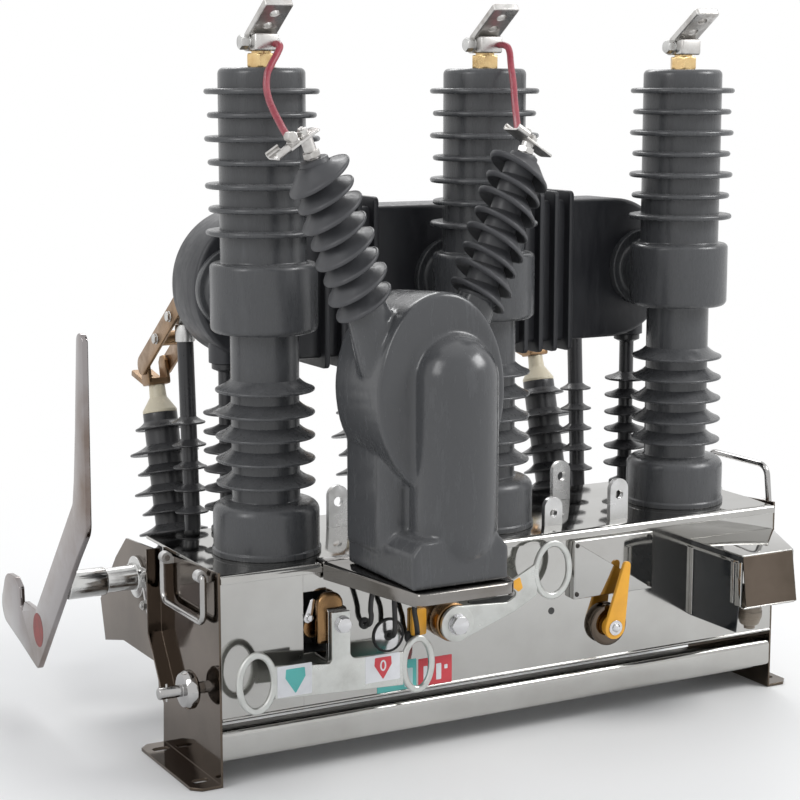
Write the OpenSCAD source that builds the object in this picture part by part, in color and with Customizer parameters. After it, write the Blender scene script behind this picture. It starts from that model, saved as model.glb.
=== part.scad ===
// Outdoor vacuum circuit breaker with a side disconnector, for mounting on a pole bracket.
// X runs along the front, Y to the back, Z up. The origin is the centre of the foot bolts, on
// the undersides of the feet.

/* [Housing] */
// Distance of each end plate's outer face from the axis of the pole beside it
end_margin = 115; // [100:1:140]
// Depth of the housing
housing_d = 200; // [170:2:260]
// Height of the top plate above the feet
housing_h = 285; // [270:1:360]
// Thickness of the sheet steel
sheet_t = 3; // [2:0.5:4]
// Distance that each foot reaches out past its end plate
foot_reach = 39; // [36:1:45]
// Distance of the foot slots out from the end plates
slot_reach = 17; // [15:1:20]
// Distance of the foot slots in from the front and the rear
slot_inset = 30; // [20:1:60]

/* [Poles] */
// Distance between neighbouring poles
pole_pitch = 340; // [330:1:420]
// Height of a pole above the top plate
pole_h = 646; // [600:1:780]
// Radius of the foot and of the middle bulge
pole_r = 72; // [62:1:78]
// Radius of the larger upper sheds
upper_shed_r = 76; // [74:1:84]
// Height of the sensor bar's centre above the top plate
bar_up = 348; // [330:1:420]

/* [Disconnector] */
// Distance of the shaft behind the housing
shaft_back = 88; // [84:1:96]
// Depth of the shaft below the top plate
shaft_down = 65; // [50:1:72]
// Length of the cranks, and distance of the rod pins from the blade hinges
crank_len = 84; // [66:1:101]
// Slope of the closed blades below the horizontal
blade_slope = 36; // [30:1:44]
// Radius that the blade tips swing through
blade_reach = 246.5; // [240:0.5:247]

/* [Transformer] */
// Distance of the transformer's middle to the right of the left pole
vt_right = 128; // [120:1:150]
// Lean of the two bushings from the vertical
bushing_lean = 21; // [18:0.5:24]
// Lean of the bushings' terminal plates
plate_lean = 33; // [22:0.5:36]

/* [Hidden] */
$fn = 64;

running = 0.05;        // radial play of a pin that turns in its hole
side_play = 0.3;       // gap beside an eye or a hub that turns
open_play = 0.5;       // radial play of the rods' open upper pivot
over = 1;              // how far a cut runs past a face

half_w = pole_pitch + end_margin;
inner_w = half_w - sheet_t;
front_y = -housing_d / 2;
rear_y = housing_d / 2;
left_x = -half_w;                                 // what sits on the front counts from here
rail_z = [33, 75];
pan_z = 86;
panel_z = [pan_z + sheet_t, housing_h - 4];
pole_x = [-pole_pitch, 0, pole_pitch];
bar_z = housing_h + bar_up;
bar_y = [rear_y - 2, rear_y + 88];
bar_r = 106;
bar_half = pole_pitch + 57;
support_y = rear_y + 30;
shaft_y = rear_y + shaft_back;
shaft_z = housing_h - shaft_down;
hinge = [bar_y[1] + 24, bar_z - 7];               // blade hinge in Y and Z
rod_vector = hinge - [shaft_y, shaft_z];
rod_len = norm(rod_vector);
rod_lean = atan2(rod_vector.x, rod_vector.y);
arm = crank_len * [cos(blade_slope), -sin(blade_slope)];
crank_pin = [shaft_y, shaft_z] + arm;
jaw = hinge + (blade_reach - 11.7) * [cos(blade_slope), -sin(blade_slope)];
post_foot = [rear_y + 212, housing_h - 135];      // in Y and Z
post_vector = jaw - post_foot;
post_lean = atan2(post_vector.x, post_vector.y);
post_top = norm(post_vector);                     // from the foot to the middle of the jaw
pin_r = 6;
rod_r = 12;
blade_gap = 18;                                   // half the gap between a blade's two bars
blade_t = 5;
blade_half = 15;                                  // half the width of a blade bar
lever_y = [front_y - 33, front_y - 28];           // the plane of the two front pull levers
rocker_pivot = [left_x + 162, housing_h - 77];    // in X and Z, as are the next two
charging_pivot = [left_x + 338, housing_h - 101];
selector_pivot = [left_x + 604, housing_h - 144];
interlock = [front_y + 55, housing_h - 163];      // in Y and Z
eye_x = half_w + 10;
eye_z = housing_h - 7;
eye_y = [front_y + 37, rear_y - 44];
handle_rod = 4.5;
tray_top = housing_h + sheet_t;
vt_x = -pole_pitch + vt_right;
bushing_foot = [91.5, front_y - 111, housing_h + 380];    // X is counted from the bushings' middle
bushing_mid = vt_x - 6;
bushing_h = 166;

// --- shared shapes -------------------------------------------------------------------------

// Turns a Z-up shape so that its axis lies along X, with its profile in Y and Z.
module along_x(x = 0) translate([x, 0, 0]) rotate([90, 0, 90]) children();

// Turns a Z-up shape so that its axis lies along -Y, with its profile in X and Z.
module along_front(y = 0) translate([0, y, 0]) rotate([90, 0, 0]) children();

module at_poles() for (x = pole_x) translate([x, 0, 0]) children();

// A box given by its lowest and highest corners.
module block(low, high) translate(low) cube(high - low);

// Flat link with a round end of radius r1 at the origin and one of radius r2 at distance d.
module link(r1, r2, d, t) {
    a = acos((r1 - r2) / d);
    cylinder(r = r1, h = t);
    translate([d, 0, 0]) cylinder(r = r2, h = t);
    linear_extrude(t) polygon([
        r1 * [cos(a), sin(a)], r1 * [cos(a), -sin(a)],
        [d, 0] + r2 * [cos(a), -sin(a)], [d, 0] + r2 * [cos(a), sin(a)]]);
}

// Points of an arc about c, from angle a to angle b.
function arc(c, r, a, b, n = 5) =
    [for (i = [0:n]) let (t = a + (b - a) * i / n) c + r * [cos(t), sin(t)]];

// An upright oval with half-axes a and b.
module oval(a, b) polygon([for (i = [0:39]) [a * cos(9 * i), b * sin(9 * i)]]);

// Profile of one drooping shed, from its underside to its top.
function shed(z, core, rim) =
    [[core, z - 2], [rim - 2, z - 8], [rim, z - 6.5], [rim, z - 5], [rim - 2, z - 3.5], [core, z + 7]];

// Profile of a row of sheds whose rims take turns between two radii.
function sheds(z, core, rims) = [for (i = [0:len(z) - 1]) each shed(z[i], core, rims[i % len(rims)])];

function unit(v) = v / norm(v);

// Tube swept along a list of points, which becomes one closed body.
module cord(path, r, sides = 10) {
    n = len(path);
    rings = [for (i = [0:n - 1])
        let (t = unit(path[min(i + 1, n - 1)] - path[max(i - 1, 0)]),
             u = unit(cross(t, [1, 0, 0])),
             v = cross(t, u))
        [for (k = [0:sides - 1]) path[i] + r * (u * cos(360 * k / sides) + v * sin(360 * k / sides))]];
    walls = [for (i = [0:n - 2], k = [0:sides - 1])
        [i * sides + k, i * sides + (k + 1) % sides, (i + 1) * sides + (k + 1) % sides, (i + 1) * sides + k]];
    caps = [[for (k = [sides - 1:-1:0]) k], [for (k = [0:sides - 1]) (n - 1) * sides + k]];
    polyhedron([for (ring = rings) each ring], concat(walls, caps));
}

// --- housing -------------------------------------------------------------------------------

module top_plate() color("gainsboro") {
    block([-inner_w, front_y, housing_h - 4], [inner_w, support_y + 30, housing_h]);
    block([-inner_w, front_y - sheet_t, housing_h - 12], [inner_w, front_y, housing_h]);
}

latch_x = [left_x + 121, left_x + 155];
latch_z = [housing_h - 120, housing_h - 37];

module front_panel() color("silver") difference() {
    block([-inner_w, front_y, panel_z[0]], [inner_w, front_y + sheet_t, panel_z[1]]);
    block([latch_x[0], front_y - over, latch_z[0]], [latch_x[1], front_y + sheet_t + over, latch_z[1]]);
    translate([left_x + 511, 0, housing_h - 113]) along_front(front_y + sheet_t + over)
        cylinder(r = 5, h = sheet_t + 2 * over);
}

module rear_panel() color("silver")
    block([-inner_w, rear_y - sheet_t, panel_z[0]], [inner_w, rear_y, panel_z[1]]);

module bottom_pan() color("silver")
    block([-inner_w, front_y, pan_z], [inner_w, rear_y, panel_z[0]]);

end_outline = [[front_y, 0], [front_y, housing_h + 4], [rear_y + 134, housing_h - 19],
    [rear_y + 178, housing_h - 56], [rear_y + 247, housing_h - 134], [rear_y + 230, housing_h - 194],
    [rear_y + 153, housing_h - 175], [rear_y + 19, housing_h - 174], [rear_y + 17, housing_h - 209],
    [rear_y - 1, housing_h - 226], [rear_y + 2, 0]];

// End plate on the +X side, with its foot and the hole for the disconnector shaft.
module end_plate() difference() {
    union() {
        along_x(inner_w) linear_extrude(sheet_t) polygon(end_outline);
        translate([half_w, 0, 0]) linear_extrude(4) polygon([
            [0, front_y], [foot_reach - 12, front_y], [foot_reach, front_y + 12],
            [foot_reach, rear_y - 14], [foot_reach - 12, rear_y - 2], [0, rear_y - 2]]);
    }
    for (y = [front_y + slot_inset, rear_y - slot_inset]) translate([half_w + slot_reach, y, -over]) {
        for (x = [-5, 5]) translate([x, 0, 0]) cylinder(r = 7, h = 4 + 2 * over);
        translate([-5, -7, 0]) cube([10, 14, 4 + 2 * over]);
    }
    translate([0, shaft_y, shaft_z]) along_x(inner_w - over) cylinder(r = 16, h = sheet_t + 2 * over);
}

stiffener_reach = 20;

module left_end_plate() color("silver") {
    difference() {
        mirror([1, 0, 0]) end_plate();
        translate([0, interlock[0], interlock[1]]) along_x(-half_w - over)
            cylinder(r = 8 + running, h = sheet_t + 2 * over);
    }
    along_x(-half_w - stiffener_reach) linear_extrude(stiffener_reach)
        polygon([[rear_y + 1, housing_h - 5], [rear_y + 1, housing_h - 123], [rear_y - 43, housing_h - 189],
            [rear_y - 41, housing_h - 192], [rear_y + 4, housing_h - 124], [rear_y + 4, housing_h - 5]]);
}

module right_end_plate() color("silver") end_plate();

// One channel under the housing, with its web on the outside.
module rail() difference() {
    block([-inner_w, front_y, rail_z[0]], [inner_w, front_y + 30, rail_z[1]]);
    block([-inner_w - over, front_y + sheet_t, rail_z[0] + sheet_t],
        [inner_w + over, front_y + 31, rail_z[1] - sheet_t]);
}

module base_rails() color("silver") {
    rail();
    mirror([0, 1, 0]) rail();
}

cover_x = [left_x + 546, left_x + 677];
cover_z = [housing_h - 98, housing_h - 13];

module cover_plate() color("gray") difference() {
    block([cover_x[0], front_y - 12, cover_z[0]], [cover_x[1], front_y, cover_z[1]]);
    block([cover_x[0] + 3, front_y - 9, cover_z[0] + 3], [cover_x[1] - 3, front_y + over, cover_z[1] - 3]);
}

hood_x = [left_x + 755, left_x + 905];             // at the panel
hood_tip = left_x + 847;                          // its right front corner
hood_z = [housing_h - 151, housing_h - 36];
hood_mouth = hood_z[0] + 38;                      // lower edge of its front and right sides
hood_front = front_y - 120;

module hood_plan(wall) polygon([
    [hood_x[0] + wall, front_y + (wall > 0 ? over : 0)], [hood_x[0] + wall, hood_front + wall],
    [hood_tip - wall, hood_front + wall], [hood_x[1] - wall, front_y + (wall > 0 ? over : 0)]]);

module connector_hood() color("gainsboro") {
    difference() {
        translate([0, 0, hood_z[0]]) linear_extrude(hood_z[1] - hood_z[0]) hood_plan(0);
        translate([0, 0, hood_z[0] - over]) linear_extrude(hood_z[1] - hood_z[0] - 2 + over)
            hood_plan(2);
        block([hood_x[0] + 2, hood_front - over, hood_z[0] - over],
            [hood_x[1] + over, front_y + over, hood_mouth]);
        block([hood_x[0] - over, hood_front - over, hood_z[0] - over],
            [hood_x[0] + 2 + over, hood_front + 12, hood_mouth]);
    }
    block([hood_x[0], hood_front - 6, hood_mouth], [hood_tip, hood_front + 2, hood_mouth + 2]);
}

module connector_plug() color("dimgray") {
    block([hood_x[0] + 12, hood_front + 2, hood_mouth + 2],
        [hood_x[0] + 54, hood_front + 42, hood_mouth + 24]);
    translate([hood_x[0] + 33, hood_front + 22, hood_mouth - 30]) cylinder(r = 17, h = 33);
    translate([hood_x[0] + 33, hood_front + 22, hood_z[0]]) cylinder(r = 8, h = 12);
}

module latch_recess() {
    color("darkslategray") difference() {
        block([latch_x[0] - 3, front_y + sheet_t, latch_z[0] - 3],
            [latch_x[1] + 3, front_y + 43, latch_z[1] + 3]);
        block([latch_x[0], front_y, latch_z[0]], [latch_x[1], front_y + 40, latch_z[1]]);
    }
    color("peru") translate([latch_x[0] + 17, 0, latch_z[0] + 31])
        along_front(front_y + 40) cylinder(r = 15, h = 32);
}

// --- front lever mounts, glands and small fittings -----------------------------------------

rocker_pin = 5;
charging_pin = 8;
bracket_y = front_y - 22;                         // front face of the rocker's bracket
boss_h = 12;                                      // height of the selector's boss

module lever_mounts() color("silver") {
    difference() {
        union() {
            block([rocker_pivot[0] - 16, bracket_y, rocker_pivot[1] - 55],
                [rocker_pivot[0] + 16, bracket_y + 4, rocker_pivot[1] + 19]);
            for (z = [-55, 15]) block([rocker_pivot[0] - 16, bracket_y + 4, rocker_pivot[1] + z],
                [rocker_pivot[0] + 16, front_y, rocker_pivot[1] + z + 4]);
            translate([rocker_pivot[0], 0, rocker_pivot[1]]) along_front(bracket_y)
                cylinder(r = 11, h = bracket_y - lever_y[1] - side_play);
        }
        translate([rocker_pivot[0], 0, rocker_pivot[1]]) along_front(bracket_y + 5)
            cylinder(r = rocker_pin + running, h = 12);
    }
    translate([charging_pivot[0], 0, charging_pivot[1]]) along_front(front_y) difference() {
        cylinder(r = 18, h = front_y - lever_y[1] - side_play);
        translate([0, 0, 2]) cylinder(r = charging_pin + running, h = 28);
    }
    translate([selector_pivot[0], 0, selector_pivot[1]]) along_front(front_y) difference() {
        cylinder(r = 30, h = boss_h);
        translate([0, 0, 2]) cylinder(r = pin_r + running, h = boss_h);
    }
}

gland_h = 4;
gland_at = [[left_x + 212, housing_h - 91], [left_x + 248, housing_h - 112], [left_x + 283, housing_h - 120]];
gland_r = [8, 24, 9];

module cable_glands() color("dimgray")
    for (i = [0:2]) translate([gland_at[i][0], 0, gland_at[i][1]])
        along_front(front_y) cylinder(r = gland_r[i], h = gland_h);

// Upright eye of width w and height h, with a hole below its round top.
module lug(w, h, hole) along_front(4) difference() {
    union() {
        translate([0, h - w / 2, 0]) cylinder(r = w / 2, h = 8);
        translate([-w / 2, 0, 0]) cube([w, h - w / 2, 8]);
    }
    translate([0, h - w / 2 - 8, -over]) cylinder(r = hole, h = 8 + 2 * over);
}

module lifting_lugs() color("silver") {
    for (x = [-1, 1] * (pole_pitch - 150), y = [front_y + 33, rear_y - 15])
        translate([x, y, housing_h]) lug(31, 60, 7);
    translate([pole_r + 12, front_y + 44, housing_h]) lug(30, 41, 6);
}

// Eye of one handle pin, with the web that joins it to the end plate on its -X side.
module handle_eye() difference() {
    union() {
        translate([0, 6, 0]) along_front() cylinder(r = 8, h = 12);
        block([half_w - eye_x, -6, -8], [0, 6, 0]);
    }
    translate([0, 6 + over, 0]) along_front() cylinder(r = handle_rod + running, h = 12 + 2 * over);
}

module handle_eyes() color("silver") for (side = [0, 1], y = eye_y)
    mirror([side, 0, 0]) translate([eye_x, y, eye_z]) handle_eye();

// --- poles and sensor bar ------------------------------------------------------------------

pole_profile = concat(
    [[0, 0], [pole_r, 0]],
    arc([pole_r - 24, 46], 24, 0, 90),
    [[46, 72]],
    sheds([for (i = [0:4]) 104 + (bar_up - 222) / 4 * i], 46, [67]),
    [[46, bar_up - 49], [pole_r - 10, bar_up - 49], [pole_r, bar_up - 39], [pole_r, bar_up + 34],
        [pole_r - 10, bar_up + 44], [57.5, bar_up + 44]],
    sheds([for (i = [0:6]) bar_up + 85 + (pole_h - bar_up - 114.4) / 6 * i], 57.5,
        [upper_shed_r, upper_shed_r - 4]),
    [[56.5, pole_h - 10], [53.5, pole_h - 3], [46.5, pole_h], [0, pole_h]]);

module pole() translate([0, 0, housing_h]) {
    rotate_extrude($fn = 96) polygon(pole_profile);
    translate([0, bar_y[0], bar_up]) along_front() cylinder(r = 44, h = bar_y[0]);
}

module left_pole() color("dimgray") translate([pole_x[0], 0, 0]) pole();
module mid_pole() color("dimgray") translate([pole_x[1], 0, 0]) pole();
module right_pole() color("dimgray") translate([pole_x[2], 0, 0]) pole();

stud_h = 21;
clamp_z = housing_h + pole_h + stud_h;

module terminal_studs() color("goldenrod") at_poles()
    translate([0, 0, housing_h + pole_h]) cylinder(r = 20, h = stud_h, $fn = 6);

pad_rise = 34;

module terminal_clamps() color("silver") at_poles() translate([0, 0, clamp_z]) {
    block([-17, -20, 0], [17, 20, 23]);
    translate([0, 4, 11.5]) along_x(-30) cylinder(r = 9, h = 14, $fn = 6);
    translate([0, 8, 18]) rotate([90 - pad_rise, 0, 0]) difference() {
        translate([-20, -5, 0]) cube([40, 10, 78]);
        for (z = [33, 59]) translate([0, 5 + over, z]) along_front() cylinder(r = 6, h = 10 + 2 * over);
    }
}

fin_reach = 14;

module sensor_bar() color("dimgray") {
    block([bar_r - bar_half, bar_y[0], bar_z - bar_r], [bar_half - bar_r, bar_y[1], bar_z + bar_r]);
    for (x = [-1, 1] * (bar_half - bar_r)) translate([x, 0, bar_z])
        along_front(bar_y[1]) cylinder(r = bar_r, h = bar_y[1] - bar_y[0], $fn = 96);
    for (side = [-1, 1], i = [-1.5:1:1.5])
        block([side * (pole_pitch - 175) + 26 * i - 4, bar_y[0] - fin_reach, bar_z - bar_r - fin_reach],
            [side * (pole_pitch - 175) + 26 * i + 4, bar_y[1] + fin_reach, bar_z + bar_r + fin_reach]);
    at_poles() translate([0, support_y, bar_z - bar_r]) cylinder(r = 24, h = 40);
}

support_h = bar_up - bar_r;
support_profile = concat(
    [[0, 0], [24, 0], [24, 8], [11, 16]],
    sheds([for (i = [0:5]) 42 + (support_h - 107) / 5 * i], 11, [33]),
    [[11, support_h - 14], [20, support_h - 8], [20, support_h], [0, support_h]]);

module bar_supports() color("dimgray") at_poles()
    translate([0, support_y, housing_h]) rotate_extrude() polygon(support_profile);

tongue = blade_gap - side_play;

module outlet_hinges() color("peru") at_poles() difference() {
    union() {
        block([-22, bar_y[1], hinge[1] - 30], [22, bar_y[1] + 4, hinge[1] + 30]);
        block([-tongue, bar_y[1] + 4, hinge[1] - 18], [tongue, hinge[0], hinge[1] + 18]);
        translate([0, hinge[0], hinge[1]]) along_x(-tongue) cylinder(r = 18, h = 2 * tongue);
    }
    translate([0, hinge[0], hinge[1]])
        along_x(-tongue - over) cylinder(r = pin_r + running, h = 2 * (tongue + over));
}

// --- rear posts ----------------------------------------------------------------------------

// The leaning frame of the posts: its origin is on the beam's top and its Z runs up a post.
module on_beam() translate([0, post_foot[0], post_foot[1]]) rotate([-post_lean, 0, 0]) children();

module cross_beam() color("silver") on_beam() difference() {
    block([-inner_w, -22, -42], [inner_w, 22, 0]);
    block([-inner_w - over, -19, -39], [inner_w + over, 19, -3]);
}

post_core = 26;
post_core_h = post_top - 73;
post_profile = concat(
    [[0, 0], [32, 0], [32, 8], [post_core, 14]],
    sheds([for (i = [0:5]) 72 + (post_core_h - 125.5) / 5 * i], post_core, [44, 52]),
    shed(post_core_h - 18, post_core, 40),
    [[post_core, post_core_h], [0, post_core_h]]);
cap_profile = [[0, 0], [post_core, 0], [post_core, 3], [12, 24], [12, 43], [0, 43]];

module rear_posts() color("dimgray") at_poles() on_beam() rotate_extrude() polygon(post_profile);

module post_caps() color("wheat") at_poles() on_beam()
    translate([0, 0, post_core_h]) rotate_extrude() polygon(cap_profile);

jaw_foot = post_core_h + 43;

module jaw_contacts() color("peru") at_poles() on_beam() {
    block([-tongue, -14, jaw_foot], [tongue, 14, jaw_foot + 10]);
    for (side = [-1, 1]) along_x(side * (tongue - 3) - 3) linear_extrude(6) polygon([
        [-14, jaw_foot + 9], [14, jaw_foot + 9], [14, post_top + 6],
        [6, post_top + 14], [-6, post_top + 14], [-14, post_top + 6]]);
    translate([0, 14, jaw_foot + 2]) rotate([25, 0, 0]) difference() {
        translate([-tongue + 0.5, -3, 0]) cube([2 * tongue - 1, 56, 8]);
        for (y = [20, 40]) translate([0, y, -over]) cylinder(r = 6, h = 8 + 2 * over);
    }
}

// --- disconnector drive --------------------------------------------------------------------

shaft_r = 13;
shaft_x = [-half_w - 106, half_w + 25];
bearing_bore = shaft_r + running;

module shaft_bearings() color("silver") translate([0, shaft_y, shaft_z]) {
    along_x(-half_w - 50) difference() {
        union() {
            cylinder(r1 = 17, r2 = 18, h = 45);
            translate([0, 0, 45]) cylinder(r = 30, h = 5);
        }
        translate([0, 0, -over]) cylinder(r = bearing_bore, h = 52);
    }
    along_x(half_w) difference() {
        union() {
            cylinder(r = 36, h = 6);
            cylinder(r = 22, h = 20);
        }
        translate([0, 0, -over]) cylinder(r = bearing_bore, h = 22);
    }
}

crank_gap = 17;                                   // half the gap between the two crank plates
crank_t = 6;

module disconnector_shaft() color("silver") {
    translate([0, shaft_y, shaft_z]) {
        along_x(shaft_x[0]) cylinder(r = shaft_r, h = shaft_x[1] - shaft_x[0]);
        along_x(shaft_x[0]) cylinder(r = 20, h = -half_w - 51 - shaft_x[0]);
        for (x = [-half_w + sheet_t + 2, half_w - sheet_t - 12]) along_x(x) cylinder(r = 20, h = 10);
    }
    at_poles() {
        for (x = [-crank_gap - crank_t, crank_gap]) translate([0, shaft_y, shaft_z]) along_x(x)
            rotate([0, 0, -blade_slope]) link(17, 12, crank_len, crank_t);
        translate([0, crank_pin[0], crank_pin[1]])
            along_x(-crank_gap - crank_t) cylinder(r = pin_r, h = 2 * (crank_gap + crank_t));
    }
}

lever_t = 8;
lever_outline = concat(                           // counted from the shaft's axis
    arc([-103, 353], 13, 0, 180, 9),
    [[-112, 98], [-67, 52]],
    arc([119, -139], 11, -135, -70, 3),
    [[195, -131], [250, -119]],
    arc([252, -88], 30, -65, 20),
    arc([240, -66], 30, 20, 90),
    [[212, -35], [192, -46], [190, -74], [182, -80], [170, -62], [117, -62], [-58, 128],
        [-66, 163], [-76, 232]]);

module operating_lever() color("silver") translate([0, shaft_y, shaft_z]) along_x(shaft_x[0] - lever_t)
    linear_extrude(lever_t) polygon(lever_outline);

rod_plain = 152;                                  // bare length below the upper eye
rod_profile = concat(
    [[0, 9], [rod_r, 9]],
    sheds([for (i = [4:-1:0]) rod_len - rod_plain - 33 * i], rod_r, [25]),
    [[rod_r, rod_len - 9], [0, rod_len - 9]]);

// Rod whose lower eye is at the origin.
module pull_rod() difference() {
    union() {
        rotate_extrude() polygon(rod_profile);
        along_x(side_play - crank_gap) cylinder(r = 13, h = 2 * (crank_gap - side_play));
        translate([0, 0, rod_len]) along_x(-rod_r) cylinder(r = 13, h = 2 * rod_r);
    }
    along_x(-crank_gap - over) cylinder(r = pin_r + running, h = 2 * (crank_gap + over));
    translate([0, 0, rod_len]) along_x(-rod_r - over) cylinder(r = pin_r + open_play, h = 2 * (rod_r + over));
}

module pull_rods() color("dimgray") at_poles()
    translate([0, crank_pin[0], crank_pin[1]]) rotate([-rod_lean, 0, 0]) pull_rod();

module blades() color("peru") at_poles() translate([0, hinge[0], hinge[1]]) {
    for (x = [-blade_gap - blade_t, blade_gap]) along_x(x)
        rotate([0, 0, -blade_slope]) link(blade_half, blade_half, blade_reach - blade_half, blade_t);
    rotate([-blade_slope, 0, 0]) for (y = [0, crank_len, 150])
        translate([0, y, 0]) along_x(-blade_gap - blade_t - 5)
            cylinder(r = pin_r, h = 2 * (blade_gap + blade_t + 5));
}

module interlock_shaft() color("silver") translate([-half_w, interlock[0], interlock[1]]) {
    along_x(-64) cylinder(r = 8, h = 64 + sheet_t + 10);
    along_x(-31) cylinder(r = 26, h = 18);
}

// --- front levers --------------------------------------------------------------------------

lever_plate = lever_y[1] - lever_y[0];

// A pull ring of half-axes a and b, centred at [x, z], and the plate that it ends.
module pull_ring(centre, a, b) translate(centre) difference() {
    oval(a, b);
    oval(a - 9, b - 9);
}

left_ring = rocker_pivot + [-123, -63.5];
right_ring = rocker_pivot + [115, -71.5];
charging_ring = charging_pivot + [154, 57];

module pull_lever() color("silver") {
    along_front(lever_y[1]) linear_extrude(lever_plate) union() {
        pull_ring(left_ring, 29, 42);
        pull_ring(right_ring, 26, 40);
        translate(rocker_pivot) polygon([[-98, -88], [-98, -44], [-16, -52], [-16, 0], [16, 0], [16, -49],
            [92, -51], [92, -97]]);
    }
    translate([rocker_pivot[0], 0, rocker_pivot[1]]) {
        along_front(lever_y[1]) cylinder(r = 16, h = lever_plate);
        along_front(lever_y[0]) cylinder(r = 11, h = 7, $fn = 6);
        along_front(bracket_y + 10) cylinder(r = rocker_pin, h = bracket_y + 10 - lever_y[1]);
        along_front(bracket_y + 10) cylinder(r = 8, h = 6 - side_play);
    }
}

module charging_lever() color("silver") {
    along_front(lever_y[1]) linear_extrude(lever_plate) union() {
        pull_ring(charging_ring, 32, 42);
        polygon([charging_pivot + [8, 20], charging_pivot + [16, -16],
            charging_ring + [-26, -14], charging_ring + [-26, 12]]);
    }
    translate([charging_pivot[0], 0, charging_pivot[1]]) {
        along_front(lever_y[1]) cylinder(r = 25, h = lever_plate);
        along_front(lever_y[0]) cylinder(r = 14, h = 9, $fn = 6);
        along_front(front_y - 4) cylinder(r = charging_pin, h = front_y - 4 - lever_y[1]);
    }
}

module selector_lever() color("gold") translate([selector_pivot[0], 0, selector_pivot[1]]) {
    along_front(front_y - boss_h - 8) rotate([0, 0, atan2(89, 19)]) link(17, 6, norm([19, 89]), 6);
    along_front(front_y - boss_h - side_play) cylinder(r = 15, h = 8 - side_play);
    along_front(front_y - 4) cylinder(r = pin_r, h = boss_h);
}

handle_h = 62;
handle_bend = 16;

// Quarter bend of the handle's rod from the Z axis towards +Y, with its centre at the origin.
module quarter_bend() rotate([90, 0, 90]) rotate_extrude(angle = 90)
    translate([handle_bend, 0]) circle(handle_rod);

// Lifting handle that stands up from its pins: they point inward through the two eyes.
module handle() {
    legs = [eye_y[0] - 6 - side_play - handle_rod, eye_y[1] + 6 + side_play + handle_rod];
    top = handle_h - handle_bend;
    for (y = legs) translate([0, y, 0]) {
        cylinder(r = handle_rod, h = top);
        sphere(handle_rod);
    }
    translate([0, legs[1] - handle_bend, handle_h]) along_front()
        cylinder(r = handle_rod, h = legs[1] - legs[0] - 2 * handle_bend);
    translate([0, legs[1] - handle_bend, top]) quarter_bend();
    translate([0, legs[0] + handle_bend, top]) mirror([0, 1, 0]) quarter_bend();
    for (y = [eye_y[0] + 6, legs[1]]) translate([0, y, 0]) along_front()
        cylinder(r = handle_rod, h = handle_rod + 12 + side_play);
}

handle_rest = 6;                                  // how far the right handle leans inward

module left_handle() color("silver") translate([-eye_x, 0, eye_z]) rotate([0, 180, 0]) handle();
module right_handle() color("silver") translate([eye_x, 0, eye_z]) rotate([0, -handle_rest, 0]) handle();

// --- voltage transformer -------------------------------------------------------------------

tray_front = front_y - 216;
tray_back = front_y - 4;                          // just in front of the top plate's lip

module tray_shape(inset) translate([vt_x, 0]) polygon([
    [inset - 95, tray_back - inset], [inset - 70, tray_front + 10], [-62, tray_front + inset],
    [74, tray_front + inset], [82 - inset, tray_front + 10], [107 - inset, tray_back - inset]]);

module vt_bracket() color("silver") {
    translate([0, 0, housing_h]) linear_extrude(sheet_t) union() {
        tray_shape(0);
        translate([vt_x - 95, tray_back]) square([202, 22]);
    }
    translate([0, 0, housing_h - 21]) linear_extrude(21) difference() {
        tray_shape(0);
        tray_shape(sheet_t);
    }
}

drum_z = housing_h + 240;

// The frame of one bushing: its Z runs up the bushing from the lean's reference point.
module on_bushing(side) translate([bushing_mid + side * bushing_foot.x, bushing_foot.y, bushing_foot.z])
    rotate([0, side * bushing_lean, 0]) children();

module vt_body() color("dimgray") {
    translate([vt_x, 0, tray_top]) along_front(front_y - 26) linear_extrude(179) polygon([
        [-69, 0], [69, 0], [69, 43], [55, 62], [-55, 62], [-69, 43]]);
    translate([vt_x, front_y - 26, tray_top + 40]) linear_extrude(drum_z - 70 - tray_top - 40) polygon([
        [-72, 0], [-72, -84], [-47, -109], [47, -109], [72, -84], [72, 0]]);
    translate([vt_x, 0, drum_z]) along_front(front_y - 26) linear_extrude(134) oval(91, 130);
    translate([vt_x + 12, front_y - 162, drum_z - 168]) cylinder(r = 56, h = 187);
    for (z = [drum_z - 168, drum_z + 19]) translate([vt_x + 12, front_y - 162, z]) sphere(56);
    on_bushing(-1) translate([0, 0, -110]) cylinder(r1 = 36, r2 = 26, h = 80);
    on_bushing(1) translate([0, 0, -110]) cylinder(r1 = 27, r2 = 26, h = 80);
}

bushing_profile = concat(
    [[0, -30], [26, -30], [26, -24]],
    sheds([-15, 9, 33, 57], 22, [39, 42]),
    sheds([81, 105, 129, 153], 20, [39, 42]),
    [[18, bushing_h], [0, bushing_h]]);

module bushings() color("dimgray")
    for (side = [-1, 1]) on_bushing(side) rotate_extrude() polygon(bushing_profile);

// Along each bushing's axis, and across it, to the middle of its terminal plate.
plate_at = [193, 180];
plate_shift = [-16, 0];

// The frame of a terminal plate: i is 0 on the left and 1 on the right, and Z is normal to the plate.
module on_plate(i) on_bushing(2 * i - 1) translate([0, 0, plate_at[i]])
    rotate([0, (2 * i - 1) * (plate_lean - bushing_lean), 0]) translate([plate_shift[i], 0, 0]) children();

module bushing_terminals() color("silver") for (i = [0:1]) {
    on_bushing(2 * i - 1) translate([0, 0, bushing_h]) cylinder(r = 8, h = plate_at[i] + 12 - bushing_h);
    on_plate(i) {
        block([-33, -15, 0], [33, 15, 5]);
        block([-17, -8, 5], [-4, 8, 20]);
    }
}

// --- leads and cables ----------------------------------------------------------------------

lead_r = 4.5;
cable_r = 3.5;

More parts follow.
